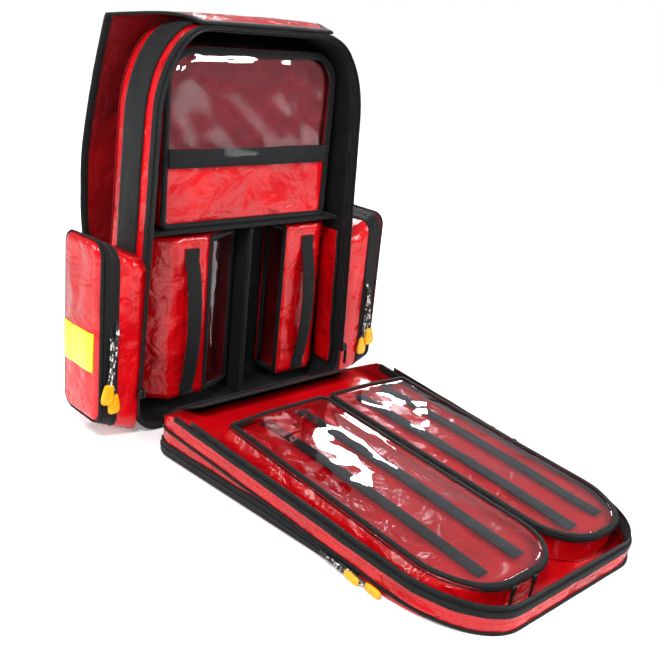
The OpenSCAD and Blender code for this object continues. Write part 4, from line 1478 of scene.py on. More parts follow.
@dataclass
class HarnessCover:
    """One cloth that arches over the top and hangs over the stowed harness."""

    shop: Workshop
    front_y: float = 2.0
    back_y: float = 100.0
    top_z: float = 567.3
    rise: float = 11.0
    thick: float = 2.2
    front_half: float = 116.0
    foot_z: float = 70.0
    bulge: float = 64.0

    def point(self, v: float, u: float, lift: float = 0.0) -> Point:
        """A point of the cloth.

        Args:
            v: 0 at the front edge, 1 at the fold, 2 at the hanging edge.
            u: -1 at the left edge, 1 at the right.
            lift: How far off the cloth the point lies, outwards.

        Returns:
            The point as drawn.
        """
        half = SIZES.half_foot
        if v <= 1:
            y = mix(self.front_y, self.back_y, v)
            wide = mix(self.front_half, half, (y / self.back_y) ** 2.2)
            z = self.top_z + self.rise * math.sin(math.pi * y / self.back_y) + 1.2
            z += 1.6 * (1 - u * u) * math.sin(math.pi * v) * (0.5 + ripple((u * wide, y, 0), 60,
                    40))
            droop = 3.0 * abs(u) ** 6 * math.sin(math.pi * v)
            return u * wide, y, z - droop + lift
        w = v - 1
        y = self.back_y + 1.4 + self.bulge * math.sin(math.pi * w) * (1 - 0.05 * u * u)
        z = mix(self.top_z + 2.4, self.foot_z, w)
        p = (u * half, 0, z)
        soft = math.sin(math.pi * min(1.0, w)) * (2.6 * ripple(p, 95, 41) + 1.8 * crease(p, 150, 42)
            + 0.5 * ripple(p, 30, 43))
        return u * half, y + soft + lift, z

    def build(self) -> None:
        """Builds the cloth and its binding, both of which bend where the cover hangs from."""
        pal = self.shop.palette
        steps = [k / 14 for k in range(15)] + [1 + k / 70 for k in range(1, 71)]
        cross = [mix(-1, 1, k / 56) for k in range(57)]
        skin = Skin()
        skin.loft([[self.point(v, u) for u in cross] for v in steps], closed=False)
        piece = skin.make("harness_cover_cloth", Stand.BAG, pal.reds)
        turn_outwards(piece)
        if piece.data.polygons[len(cross) // 2].normal.z < 0:
            piece.data.flip_normals()
        thicken(piece, self.thick, 0.0, inner_slot=1)
        self.bend(piece, "red_tarpaulin", "cover_top", "cover_flap")
        flat = (2 * SIZES.half_foot * MM, 0.635)
        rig.sheet(piece, flat=flat, held="hung", rests_on=["carry_webbing_strap"], area=0.2470)
        edge, wide = Skin(), SIZES.bind_w
        for side in (-1, 1):
            path, across = [], []
            for v in steps:
                p, q = Vector(self.point(v, side)), Vector(self.point(v, side * 0.93))
                path.append(tuple(p + (q - p).normalized() * (wide / 2 - 1.0)))
                across.append((q - p).normalized() * side)
            self.edge_strap(edge, path, across, wide)
        for v, ahead in ((0.0, 0.06), (2.0, 1.97)):
            path, across = [], []
            for u in cross:
                p, q = Vector(self.point(v, u)), Vector(self.point(ahead, u))
                path.append(tuple(p + (q - p).normalized() * (wide / 2 - 1.0)))
                across.append((q - p).normalized())
            self.edge_strap(edge, path, across, wide)
        piece = edge.make("harness_cover_binding", Stand.BAG, [pal.binding])
        turn_outwards(piece)
        self.bend(piece, "black_webbing", "flap_binding")

    @staticmethod
    def edge_strap(skin: Skin, path: Sequence[Point], across: Sequence[Vector],
            wide: float) -> None:
        """Adds a strap whose width turns with the edge that it binds."""
        w, t = wide / 2, 2.3
        profile = [(-w, 0.4), (-w + 0.8, t * 0.8), (0, t), (w - 0.8, t * 0.8), (w, 0.4), (w, -0.4),
            (w - 0.8, -t * 0.8), (0, -t), (-w + 0.8, -t * 0.8), (-w, -0.4)]
        rings = []
        for i, p in enumerate(path):
            a, b = Vector(path[min(i + 1, len(path) - 1)]), Vector(path[max(i - 1, 0)])
            out = (a - b).normalized().cross(across[i]).normalized()
            sway = 0.5 * ripple(p, 20, 45)
            rings.append([tuple(Vector(p) + across[i] * (m + sway) + out * n) for m, n in profile])
        skin.rod(rings)

    def bend(self, piece: Object, slot: str, *nodes: str) -> None:
        """Lets a piece bend between the top of the cover and the part that hangs."""
        start = Stand.BAG.place((0, self.back_y - 7, self.top_z + 6))
        end = Stand.BAG.place((0, self.back_y + 1, self.top_z - 6))
        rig.blend(piece, "bag", "harness_flap", start=tuple(start), end=tuple(end))
        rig.slot(piece, slot)
        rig.replaces(piece, *nodes)
        LOG.info("%s bends between bag and harness_flap", piece.name)


# ------------------------------------------------------------------ side pockets


def flat_frame(skin: Skin, shape: Contour, wide: float, low: float, high: float,
               place: Place, slot: int = 0) -> None:
    """Adds a flat frame that follows the inside of an outline.

    Args:
        skin: The piece.
        shape: The outline.
        wide: The frame's width.
        low: Where its back lies.
        high: Where its front lies.
        place: Turns outline a, outline b and depth into a drawn point.
        slot: Which of the piece's finishes it takes.
    """
    b = (high - low) * 0.3
    profile = [(0.0, low), (0.0, high - b), (b, high), (wide / 2, high + 0.2), (wide - b, high),
        (wide, high - b), (wide, low)]
    skin.loft([[place(*shape.at(i, inset), depth) for inset, depth in profile]
            for i in range(len(shape))], around=True, slot=slot)


@dataclass
class Pull:
    """The loop of cord and the moulded end that hang from a zip slider."""

    shop: Workshop
    cord_r: float = 1.3
    gap: float = 2.2

    def hang(self, name: str, node: str, body: str, stand: Stand, top: Point, down: Point,
             side: Point, length: float, end_half: tuple[float, float], more: bool = False,
             bow: float = 0.0) -> None:
        """Hangs one pull.

        Args:
            name: Start of each piece's name.
            node: The node that it replaces.
            body: The body that it rides on.
            stand: Where its drawn points go.
            top: Where its cord starts.
            down: The direction in which it hangs.
            side: The direction across its two strands.
            length: Length of its cord.
            end_half: Half width and half length of its moulded end.
            more: Whether another pull already replaces the node.
            bow: How far it stands off what it hangs past.
        """
        pal, t0 = self.shop.palette, Vector(top)
        d, s = Vector(down).normalized(), Vector(side).normalized()
        out = d.cross(s)
        strands = []
        for k, sign in enumerate((-1, 1)):
            path = [tuple(t0 + d * length * u / 16 + s * sign * self.gap
                    * (0.5 + 0.5 * smooth(u / 8)) + out
                    * (bow * smooth(u / 2.5) + 0.5 * math.sin(u * 0.8 + k * 2))) for u in range(17)]
            skin = Skin()
            skin.tube(path, lambda u: self.cord_r, 10)
            piece = dress(skin, f"{name}_cord_{'ab'[k]}", [pal.cord], body, "black_webbing",
                stand=stand)
            strands.append((piece, [tuple(stand.place(p)) for p in path]))
        wide, tall = end_half
        middle = t0 + d * (length + tall - 5) + out * bow
        rings = []
        for depth, inset in ((-2.6, 2.4), (-1.8, 0.6), (-0.6, 0.0), (0.6, 0.0), (1.8, 0.6),
                (2.6, 2.4)):
            ring = []
            for k in range(28):
                a = 2 * math.pi * k / 28
                u = math.copysign(abs(math.cos(a)) ** 0.55, math.cos(a))
                v = math.copysign(abs(math.sin(a)) ** 0.55, math.sin(a))
                waist = 1 - 0.16 * math.exp(-((v + 0.55) * 2.6) ** 2)
                ring.append(tuple(middle + s * u * (wide - inset) * waist + d * v * (tall - inset)
                        + out * depth))
            rings.append(ring)
        skin = Skin()
        made = skin.loft(rings)
        lift = out * 0.5
        skin.cap(made[0], 3, flip=True, lift=lambda t, p: tuple(Vector(p) - lift * t))
        skin.cap(made[-1], 3, lift=lambda t, p: tuple(Vector(p) + lift * t))
        end = dress(skin, f"{name}_end", [pal.orange], body, "orange_plastic",
            *([] if more else [node]), stand=stand, rounded=True)
        for piece, path in strands:
            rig.cord(piece, exit=path[0], length=length * MM, diameter=2 * self.cord_r * MM,
                far_end="fitting", stiffness="medium", lay="hanging", path=path, with_pieces=[end])


@dataclass
class SidePocket:
    """A pocket on the bag's side: red gusset, zip band, crowned door and reflective band."""

    shop: Workshop
    side: int
    deep: float = 66.0
    rise: float = 30.0
    splay: float = 4.0
    gusset_end: float = 0.52
    band_end: float = 0.86
    seam_shares: tuple[float, float] = (0.545, 0.82)
    tape_z: tuple[float, float] = (108.3, 163.7)
    slider_z: float = 170.0
    cord_length: float = 88.0
    cord_end: tuple[float, float] = (9.6, 15.0)

    @property
    def word(self) -> str:
        """Left or right."""
        return "left" if self.side < 0 else "right"

    def outline(self, t: float) -> Contour:
        """The pocket's outline in y and z at t, from 0 at the compartment to 1 outside."""
        return corner_box(-2 - self.splay * t, 92 - self.splay * t, 4 + self.rise * t,
            262 + self.rise * t, 20, [22, 60, 22, 60], 7)

    def point(self, t: float, i: int, inset: float, out: float = 0.0) -> Point:
        """A point of the pocket's skin."""
        y, z = self.outline(t).at(i, inset)
        x = SIZES.half_foot + self.deep * t
        if t <= 0:
            x = SIZES.side_x(max(z, SIZES.foot_r)) - 1.0
        return self.side * (x + out), y, z

    def swell(self, t: float, i: int) -> float:
        """How far the gusset's soft wall swells out between its seams."""
        p = self.point(t, i, 0.0)
        span = math.sin(math.pi * min(1.0, t / self.gusset_end))
        return span * (1.5 + 2.2 * ripple(p, 46, 60) + 2.4 * crease(p, 60, 61))

    def build(self) -> None:
        """Builds the pocket."""
        pal, n = self.shop.palette, len(self.outline(0.0))
        levels = [-0.01, 0.03, 0.08, 0.14, 0.2, 0.26, 0.32, 0.38, 0.43, 0.47, 0.5, self.gusset_end]
        skin = Skin()
        skin.loft([[self.point(t, i, 0.4 - (self.swell(t, i) if t > 0 else 0.0)) for i in range(n)]
                for t in levels])
        dress(skin, f"side_pocket_{self.word}_gusset", pal.reds, "bag", "red_tarpaulin",
            f"pocket_{self.word}", wall=1.6, inner_slot=1)
        cut = (self.gusset_end + self.band_end) / 2
        band = Skin()
        for a, b in ((self.gusset_end + 0.01, cut - 0.02), (cut + 0.02, self.band_end - 0.01)):
            rings = []
            for i in range(n):
                sway = 0.5 * ripple(self.point(a, i, 0.0), 22, 62)
                rings.append([self.point(t, i, inset + sway)
                        for t, inset in ((a - 0.03, 0.2), (a - 0.03, -1.0), (a + 0.01, -1.6),
                            ((a + b) / 2, -1.1), (b - 0.01, -1.5), (b, -0.8), (b, 0.9),
                            ((a + b) / 2, 0.8))])
            band.loft(rings, around=True)
        dress(band, f"side_pocket_{self.word}_zip_band", [pal.binding], "bag", "black_zip",
            f"pocket_zip_{self.word}")
        loop = [self.point(cut, i, -0.6) for i in range(n + 1)]
        self.shop.sewing.lay(f"side_pocket_{self.word}_teeth", Row.POCKET_COIL, [loop], "bag",
            "black_zip", across=(1, 0, 0))
        seams = [[self.point(t, i, -1.9) for i in range(n + 1)] for t in self.seam_shares]
        self.shop.sewing.lay(f"side_pocket_{self.word}_stitches", Row.TOPSTITCH, seams, "bag",
            "black_zip", across=(1, 0, 0))
        self.door(n)
        for level, word, x, lean in ((self.slider_z + 8, "upper", 37, -9),
                (self.slider_z - 8, "lower", 46, 3)):
            self.pull(word, x, lean, level)

    def door(self, n: int) -> None:
        """The crowned outer face with its piping and reflective band."""
        pal = self.shop.palette
        body = f"door_{self.word}"
        skin = Skin()

        def crown(t: float, p: Point) -> Point:
            """Swells the door's face and crumples it."""
            puff = 3.2 * smooth(t * 1.5) + 1.6 * ripple(p, 60, 64) * smooth(t * 3) + 1.6 * crease(p,
                85, 65) * t
            return p[0] + self.side * puff, p[1], p[2]

        rings = [[self.point(t, i, e) for i in range(n)] for t, e in ((self.band_end + 0.005, 0.3),
                (0.90, 0.6), (0.94, 2.0), (0.975, 4.4), (1.0, 8.0))]
        made = skin.loft(rings)
        skin.cap(made[-1], 14, lift=crown)
        dress(skin, f"side_pocket_{self.word}_door", pal.reds, body, "red_tarpaulin",
            f"pocket_door_{self.word}", facing=(self.side, 0, 0), wall=1.6, inner_slot=1)
        pipe = Skin()
        pipe.loft([[self.point(t, i, e) for t, e in ((self.band_end + 0.01, -0.6),
                    (self.band_end + 0.03, -1.6), (self.band_end + 0.07, -1.6),
                    (self.band_end + 0.09, -0.4), (self.band_end + 0.07, 0.8),
                    (self.band_end + 0.03, 0.8))] for i in range(n)], around=True)
        dress(pipe, f"side_pocket_{self.word}_piping", [pal.binding], body, "red_tarpaulin",
            f"pocket_door_{self.word}")
        tape = Skin()
        rows, (low, high) = [], self.tape_z
        for k in range(25):
            y = mix(3.2, 79, k / 24)
            edge = min(1.0, 8 * min(k, 24 - k) / 24)
            x = SIZES.half_foot + self.deep + 3.4 + 0.6 * math.sin(y / 11)
            rows.append([(self.side * (x + dx), y, z)
                    for z, dx in ((low, -2.0), (low, 0.6), (110, 1.4), (136, 1.7), (162, 1.4),
                        (high, 0.6), (high, -2.0))])
            rows[-1] = [(self.side * (abs(p[0]) - 2.2 * (1 - edge)), p[1], p[2]) for p in rows[-1]]
        tape.rod(rows)
        dress(tape, f"side_pocket_{self.word}_reflective_tape", [pal.lime], body, "lime_reflective",
            f"reflective_band_{self.word}")

    def pull(self, word: str, x: float, lean: float, level: float) -> None:
        """One slider with its cords and end."""
        name, s = f"pull_{self.word}_{word}", self.side
        seat = mix(-2, -6, x / self.deep) - 0.6
        x0 = s * (SIZES.half_foot + x)
        skin = Skin()
        for w, h, y0, y1 in ((4.2, 6.6, seat - 0.3, seat + 0.2),
                (2.3, 4.4, seat - 2.4, seat - 0.3)):
            skin.plate(corner_box(x0 - w + 0.4, x0 + w - 0.4, level - h, level + h, 1.6,
                    [1, 2, 1, 2], 4), y0, y1, facing_front, 0.4)
        skin.tube([(x0, seat - 2.0 - 1.7 * math.sin(math.pi * k / 10), level + 4.4 - 8.0 * k / 10)
                for k in range(11)], lambda u: 0.8, 8)
        dress(skin, f"{name}_slider", [self.shop.palette.plastic], name, "orange_plastic")
        a = math.radians(lean)
        down = (-s * math.sin(a), 0.0, -math.cos(a))
        Pull(self.shop).hang(name, f"pocket_{name}", name, Stand.BAG, (x0, seat - 3.4, level - 3),
            down, (math.cos(a), 0, -s * math.sin(a)), self.cord_length, self.cord_end,
            bow=4.6 if word == "upper" else 0.0)


# ------------------------------------------------------------------ modules inside


@dataclass
class UpperModule:
    """The wide module above the shelf, with a window over a solid panel."""

    shop: Workshop
    half: float = 153.0
    shift: float = 3.0
    low: float = 288.3
    top: float = 538.0
    front: float = 30.0
    split: float = 378.2
    band: float = 8.0

    def outline(self) -> Contour:
        """The module's outline in x and z."""
        h, s = self.half, self.shift
        return Contour([(s + h - 14, self.low + 14, 14, 14, -90, 0),
                (s + h - 50, self.top - 46, 50, 46, 0, 90),
                (s + 50 - h, self.top - 46, 50, 46, 90, 180),
                (s + 14 - h, self.low + 14, 14, 14, 180, 270)], [5, 12, 12, 5], [36, 34, 36, 44])

    def half_at(self, z: float, inset: float) -> float:
        """Half width of the outline at height z, drawn in by inset."""
        over = z - (self.top - 46)
        if over <= 0:
            return self.half - inset
        r = 46 - inset
        return self.half - 50 + (50 - inset) * math.sqrt(max(0.0, 1 - (over / r) ** 2))

    def build(self) -> None:
        """Builds the module."""
        pal, shape = self.shop.palette, self.outline()
        n = len(shape)

        def wall(y: float, i: int, e: float) -> Point:
            """A point of the box's side wall, which swells a little."""
            x, z = shape.at(i)
            p = (x, y, z)
            swell = math.sin(math.pi * min(1.0, max(0.0, (y - 34) / 52))) * (0.9 * ripple(p, 40, 70)
                + 1.2 * crease(p, 60, 71) - 0.3)
            a, b = shape.at(i, e - swell)
            return a, y, b

        box = Skin()
        levels = [(32.8, 0.2), (37, 0.0), (44, 0.0), (52, 0.0), (60, 0.0), (68, 0.0), (76, 0.0),
            (84, 0.4), (88, 2.0), (89.4, 5.0)]
        made = box.loft([[wall(y, i, e) for i in range(n)] for y, e in levels])
        box.cap(made[-1], 8)
        dress(box, "upper_module_box", pal.reds, "upper_module", "red_tarpaulin", "top_module",
            wall=1.8, inner_slot=1)
        frame = Skin()
        flat_frame(frame, shape, self.band, self.front + 2.4, self.front, facing_front)
        dress(frame, "upper_module_zip_frame", [pal.tape], "upper_module", "black_zip",
            "top_module_zip")
        loop = [(a, self.front - 0.5, b) for a, b in shape.points(self.band * 0.55, 1)]
        self.shop.sewing.lay("upper_module_teeth", Row.COIL, [loop], "upper_module", "black_zip",
            across=(1, 0, 0.3))
        self.shop.sewing.lay("upper_module_stitches", Row.TOPSTITCH,
            [[(x, self.front - 0.3, z) for x, z in (shape.at(i, e) for i in range(n + 1))]
                for e in (1.4, self.band - 2.8)], "upper_module", "black_zip")
        self.panel()

    def leaf(self, rows: Sequence[float], depth: Callable[[float, float], float],
            inset: float) -> Skin:
        """A leaf of the front between two heights, as a grid."""
        skin = Skin()
        skin.loft([[(self.shift + u * self.half_at(z, inset), depth(u, z), z)
                    for u in (mix(-1, 1, k / 60) for k in range(61))] for z in rows], closed=False)
        return skin

    def panel(self) -> None:
        """Solid panel, webbing band, clear window and the netting behind it."""
        pal, inset = self.shop.palette, self.band - 0.6
        ceiling = self.top - inset
        split = self.split

        def soft(u: float, z: float) -> float:
            """Depth of the panel's soft face."""
            edge = smooth((1 - abs(u)) * 9) * smooth((z - self.low - inset)
                / 10) * smooth((split - z) / 8)
            p = (u * 150, 0, z)
            return self.front + 1.2 - edge * (1.6 + 1.8 * ripple(p, 50, 72) + 2.0
                * crease(p, 70, 73))

        rows = [mix(self.low + inset, split, k / 26) for k in range(27)]
        dress(self.leaf(rows, soft, inset), "upper_front_panel", pal.reds, "upper_front",
            "red_tarpaulin", "top_module_panel", facing=(0, -1, 0), wall=1.4, inner_slot=1)

        def bulge(u: float, z: float) -> float:
            """Depth of the window, which buckles softly."""
            edge = smooth((1 - abs(u)) * 8) * smooth((z - split) / 14) * smooth((ceiling - z) / 14)
            p = (u * 150, 0, z)
            fold = ripple((p[0] + 0.6 * z, 0, z * 0.5 - p[0] * 0.3), 34, 86)
            return self.front + 1.0 - edge * (3.4 + 3.4 * ripple(p, 58, 74) + 2.2 * fold)

        high = [mix(split, ceiling, 1 - (1 - k / 44) ** 1.25) for k in range(45)]
        dress(self.leaf(high, bulge, inset), "upper_front_window", [pal.clear], "upper_front",
            "clear_vinyl", "top_module_window", facing=(0, -1, 0), wall=0.5)
        band = Skin()
        span = self.half - inset
        band.strap([(self.shift + mix(-span, span, k / 60),
                    self.front - 1.9 - 0.7 * ripple((k * 5, 0, 0), 40, 76) - 1.4
                    * math.sin(math.pi * k / 60), split + 10.0 + 0.8 * ripple((k * 5, 0, 9), 70,
                    77)) for k in range(61)], (0, 0, 1), 26, 2.0)
        dress(band, "upper_front_band", [pal.webbing], "upper_front", "red_tarpaulin",
            "top_module_panel")

        def back_of(u: float, z: float) -> float:
            """Depth of the netting, which sags in folds."""
            p = (u * 150, 0, z)
            return self.front + 9.5 + 3.0 * ripple(p, 34, 78) + 2.4 * crease(p, 45, 79)

        dress(self.leaf([mix(split - 30, ceiling - 4, k / 34) for k in range(35)], back_of,
                inset + 4), "upper_module_netting", [pal.netting], "upper_module", "red_tarpaulin",
            "top_module", facing=(0, -1, 0), wall=0.8)


@dataclass
class LowerModule:
    """A tall module below the shelf, whose window faces sideways."""

    shop: Workshop
    word: str
    plan: Sequence[tuple[float, float]]
    outward: tuple[float, float]
    handle_x: float
    low: float = 27.2
    top: float = 275.0
    band: float = 8.5
    handle_z: float = 143.7
    handle_len: float = 190.0
    handle_w: float = 24.0

    def window_place(self, s: float, z: float, h: float) -> Point:
        """A point on the window's side: s along it, z up, h off it."""
        a, b = Vector(self.plan[1]), Vector(self.plan[2])
        d = (b - a).normalized()
        n = Vector(self.outward).normalized()
        q = a + d * s + n * h
        return q[0], q[1], z

    @property
    def window_run(self) -> float:
        """Width of the window's side."""
        return (Vector(self.plan[2]) - Vector(self.plan[1])).length

    def walls(self) -> list[tuple[float, float, bool]]:
        """The plan's outline with softened corners; the flag tells the window's side."""
        n, out = len(self.plan), []
        for i in range(n):
            k = (i + 2) % n
            a, b = Vector(self.plan[k]), Vector(self.plan[(k + 1) % n])
            steps = max(3, int((b - a).length / 7))
            for j in range(steps):
                t = j / steps
                out.append((*a.lerp(b, t), k == 1))
        return out

    def build(self) -> None:
        """Builds the module."""
        pal, ring = self.shop.palette, self.walls()
        n = len(ring)
        centre = Vector((sum(p[0] for p in ring) / n, sum(p[1] for p in ring) / n))
        rows = [mix(self.low + 0.4, self.top - 0.4, k / 30) for k in range(31)]
        skin, made = Skin(), []
        for z in rows:
            edge = smooth(min(z - self.low, self.top - z) / 16)
            row = []
            for x, y, window in ring:
                p = (x, y, z)
                away = (Vector((x, y)) - centre).normalized()
                puff = 0.0 if window else edge * (0.9 * ripple(p, 42, 80) + 1.6 * crease(p, 60, 81)
                    - 0.3)
                if y > 84:
                    puff = min(0.0, puff)
                row.append((x + away[0] * (puff - 0.4), y + away[1] * (puff - 0.4), z))
            made.append(skin.ring(row))
        for a, b in zip(made, made[1:]):
            for i in range(n):
                j = (i + 1) % n
                if not ring[i][2]:
                    skin.faces.append((a[i], a[j], b[j], b[i]))
                    skin.slots.append(0)
        skin.cap(made[0], 3, flip=True)
        skin.cap(made[-1], 3)
        body = f"lower_{self.word}_module"
        dress(skin, f"{self.word}_module_box", pal.reds, body, "red_tarpaulin",
            f"{self.word}_module", wall=1.8, inner_slot=1)
        run = self.window_run
        shape = corner_box(0.3, run - 0.3, self.low + 0.3, self.top - 0.3, 6, [6, 40, 6, 40], 4)
        frame = Skin()
        flat_frame(frame, shape, self.band, -0.4, 1.5, self.window_place)
        dress(frame, f"{self.word}_module_zip_frame", [pal.tape], body, "black_zip",
            f"{self.word}_module_zip")
        m = len(shape)
        self.shop.sewing.lay(f"{self.word}_module_teeth", Row.COIL,
            [[self.window_place(*shape.at(i, self.band * 0.55), 2.0) for i in range(m + 1)]], body,
            "black_zip", across=(self.outward[1], -self.outward[0], 0.3))
        pane = Skin()
        inset = self.band - 0.6
        pane.loft([[self.window_place(s, z, 0.8 + smooth(min(s - inset, run - inset - s) / 8)
                    * smooth(min(z - self.low - inset, self.top - inset - z) / 10)
                    * (1.2 + 1.6 * ripple((s, 0, z), 44, 82) + 0.9 * ripple((s, 0, z), 20, 83)))
                    for s in (mix(inset, run - inset, k / 20) for k in range(21))]
                for z in (mix(self.low + inset, self.top - inset, k / 60) for k in range(61))],
            closed=False)
        dress(pane, f"{self.word}_module_pane", [pal.clear], f"lower_{self.word}_window",
            "clear_vinyl", f"{self.word}_module_window", wall=0.5, offset=0.0)
        self.handle(body)

    def handle(self, body: str) -> None:
        """Webbing handle that bows out from the spine, with sewn ends."""
        x, front = self.handle_x, 30 - 2.2
        path = [(x, front + 1, self.handle_z - self.handle_len / 2 - 19),
            (x, front + 1, self.handle_z - self.handle_len / 2 - 4)]
        for k in range(33):
            u = k / 32
            path.append((x + 0.8 * ripple((0, 0, u * 200), 60, 84),
                    front + 0.8 - 13 * math.sin(math.pi * u) ** 0.7, self.handle_z + self.handle_len
                    * (u - 0.5)))
        path += [(x, front + 1, self.handle_z + self.handle_len / 2 + 4),
            (x, front + 1, self.handle_z + self.handle_len / 2 + 19)]
        skin = Skin()
        skin.strap(path, (1, 0, 0), self.handle_w, 2.4)
        dress(skin, f"{self.word}_module_grab_handle", [self.shop.palette.webbing], body,
            "black_webbing", f"{self.word}_module_handle")
        paths = []
        for s in (-1, 1):
            z = self.handle_z + s * (self.handle_len / 2 + 11)
            shape = corner_box(x - 9, x + 9, z - 6, z + 6, 1, [3, 3, 3, 3], 2)
            paths.append([(shape.at(i)[0], front - 0.4, shape.at(i)[1])
                    for i in range(len(shape) + 1)])
        self.shop.sewing.lay(f"{self.word}_module_stitches", Row.BAR_TACK, paths, body,
            "black_webbing")


# ------------------------------------------------------------------ front cover


@dataclass
class Cover:
    """The front cover: padded tray, edge binding, zip, webbing, hinge fabric and its own pocket."""

    shop: Workshop
    wall: float = 3.0
    pocket_h: float = 500.0
    zip_foot: float = 78.0
    zip_band: float = 20.0
    pull_z: tuple[float, float] = (352.0, 384.0)
    cord_length: float = 36.0

    @staticmethod
    def mouth(z: float) -> float:
        """Depth of the tray's edge at height z, which slopes away at the foot."""
        s = SIZES
        return min(s.rim_y, s.base_y + s.cover_depth * max(0.0, z) / s.cover_slope)

    @staticmethod
    def swell(i: int, y: float, v: float, seed: int) -> float:
        """How far the soft wall swells between its seams, at share v of its height."""
        x, z = RIM.at(i)
        p = (x, y, z)
        return math.sin(math.pi * v) * smooth((z - 30) / 60) * (0.6 + 1.2 * ripple(p, 60, seed)
            + 1.6 * crease(p, 70, seed + 1))

    def build(self) -> None:
        """Builds the cover."""
        self.tray()
        self.edge()
        self.straps()
        self.hinge()
        self.pocket()
        self.pulls()

    def tray(self) -> None:
        """Tarpaulin tray with its red lining."""
        pal, base, n = self.shop.palette, SIZES.base_y, len(RIM)
        skin = Skin()
        rings = []
        for v in (1.0, 0.92, 0.8, 0.66, 0.5, 0.34, 0.2, 0.08, 0.0):
            ring = []
            for i in range(n):
                x, z = RIM.at(i)
                y = mix(base, self.mouth(z), v)
                out = self.swell(i, y, v, 90)
                a, b = RIM.at(i, -out)
                ring.append((a, y, max(0.0, b)))
            rings.append(ring)
        rings.append([(x, base - 0.1, max(0.2, z)) for x, z in (RIM.at(i, 1.0) for i in range(n))])
        made = skin.loft(rings)
        skin.cap(made[-1], 10)
        dress(skin, "cover_tray", pal.reds, "lid", "red_tarpaulin", "lid_shell", stand=Stand.COVER,
            wall=self.wall, inner_slot=1)
        sheet = Skin()
        rings = []
        for k in range(9, 0, -1):
            t = k / 9
            ring = []
            for i in range(n):
                x, z = RIM.at(i, 3.4)
                x, z = x * t, 283 + (max(z, 9.0) - 283) * t
                p = (x, 0, z)
                ring.append((x, base + self.wall + 0.8 + 0.5 * ripple(p, 60, 92), z))
            rings.append(ring)
        made = sheet.loft(rings)
        sheet.cap(made[-1], 2)
        dress(sheet, "cover_base_lining", [pal.red_flat], "lid", "red_tarpaulin", "lid_lining",
            stand=Stand.COVER, facing=(0, 0, 1), wall=0.9)
        pipe = Skin()
        pipe.tube([rim_point(i, base + 0.6 + 0.6 * ripple((*RIM.at(i), 2), 40, 93), 0.4)
                for i in rim_span(20)], lambda t: 2.3, 8)
        dress(pipe, "cover_base_piping", [pal.binding], "lid", "black_webbing", stand=Stand.COVER)
        seams = [[(*RIM.at(i, -0.7 - self.swell(i, base + 14, 0.55, 90))[:1], base + 13.0,
                    RIM.at(i, -0.7 - self.swell(i, base + 14, 0.55, 90))[1]) for i in rim_span(50)]]
        self.shop.sewing.lay("cover_wall_seam", Row.COVER_SEAM, seams, "lid", "red_tarpaulin",
            stand=Stand.COVER, finish=pal.red_thread)

    def edge(self) -> None:
        """Folded binding, zip tape and teeth round the tray's edge."""
        pal, s = self.shop.palette, SIZES
        skin = Skin()
        folded_binding(skin, s.rim_y, -1, self.wall, 94, rim_span(49), False, 6.5)
        dress(skin, "cover_binding", [pal.binding], "lid", "black_webbing", "lid_binding",
            stand=Stand.COVER, rounded=True)
        numbers = rim_span(self.zip_foot)
        middle = s.rim_y + s.bind_t + s.zip_w / 2
        path = [rim_point(i, middle + 0.5 * ripple((*RIM.at(i), 3), 30, 95),
                -2.5 + 0.8 * ripple((*RIM.at(i), 0), 30, 96)) for i in numbers]
        tape = Skin()
        tape.strap(path, (0, 1, 0), s.zip_w - 0.4, 0.9)
        dress(tape, "cover_zip_tape", [pal.tape], "lid", "black_zip", "lid_zip", stand=Stand.COVER)
        coil = [(x, middle + s.zip_w / 2 - 1.1, z) for x, _, z in path]
        self.shop.sewing.lay("cover_zip_teeth", Row.MAIN_COIL, [coil], "lid", "black_zip",
            stand=Stand.COVER)
        seam = [rim_point(i, s.rim_y - 4.6,
                1.9 + 0.7 * ripple((RIM.at(i)[0], s.rim_y, RIM.at(i)[1]), 24, 94))
            for i in rim_span(54)]
        self.shop.sewing.lay("cover_binding_stitches", Row.BINDING_STITCH, [seam], "lid",
            "black_webbing", stand=Stand.COVER)

    def straps(self) -> None:
        """Hook-and-loop webbing across the base, with two legs towards the pouches."""
        pal, y = self.shop.palette, SIZES.base_y + self.wall + 1.9
        skin = Skin()
        skin.strap([(mix(-119.5, 151.5, k / 50), y + 0.5 + 0.5 * ripple((k * 6, 0, 0), 40, 97),
                    84.5 + 0.9 * ripple((k * 6, 0, 5), 60, 98)) for k in range(51)], (0, 0, 1), 25,
            1.6)
        for x in (-91.5, 91.5):
            skin.strap([(x + 0.6 * math.sin(k), y + 1.5 - 0.7 * k / 12, mix(74, 117, k / 12))
                    for k in range(13)], (1, 0, 0), 25, 1.6)
        dress(skin, "cover_base_webbing", [pal.webbing], "lid", "black_webbing", "lid_webbing",
            stand=Stand.COVER)
        rows = [[(mix(-117, 149, k / 40), y + 1.7, z) for k in range(41)] for z in (75, 94)]
        self.shop.sewing.lay("cover_base_stitches", Row.HOOK_STITCH, rows, "lid", "black_webbing",
            stand=Stand.COVER)

    def hinge(self) -> None:
        """Fabric that joins the compartment's foot to the cover, and bends with it."""
        s = SIZES

        def opened(y: float, z: float) -> Vector:
            """Where a drawn point of the cover lies when the cover is down."""
            p = Stand.COVER.place((0, y, z)) / MM
            return Vector((p[1] + s.depth / 2, p[2]))

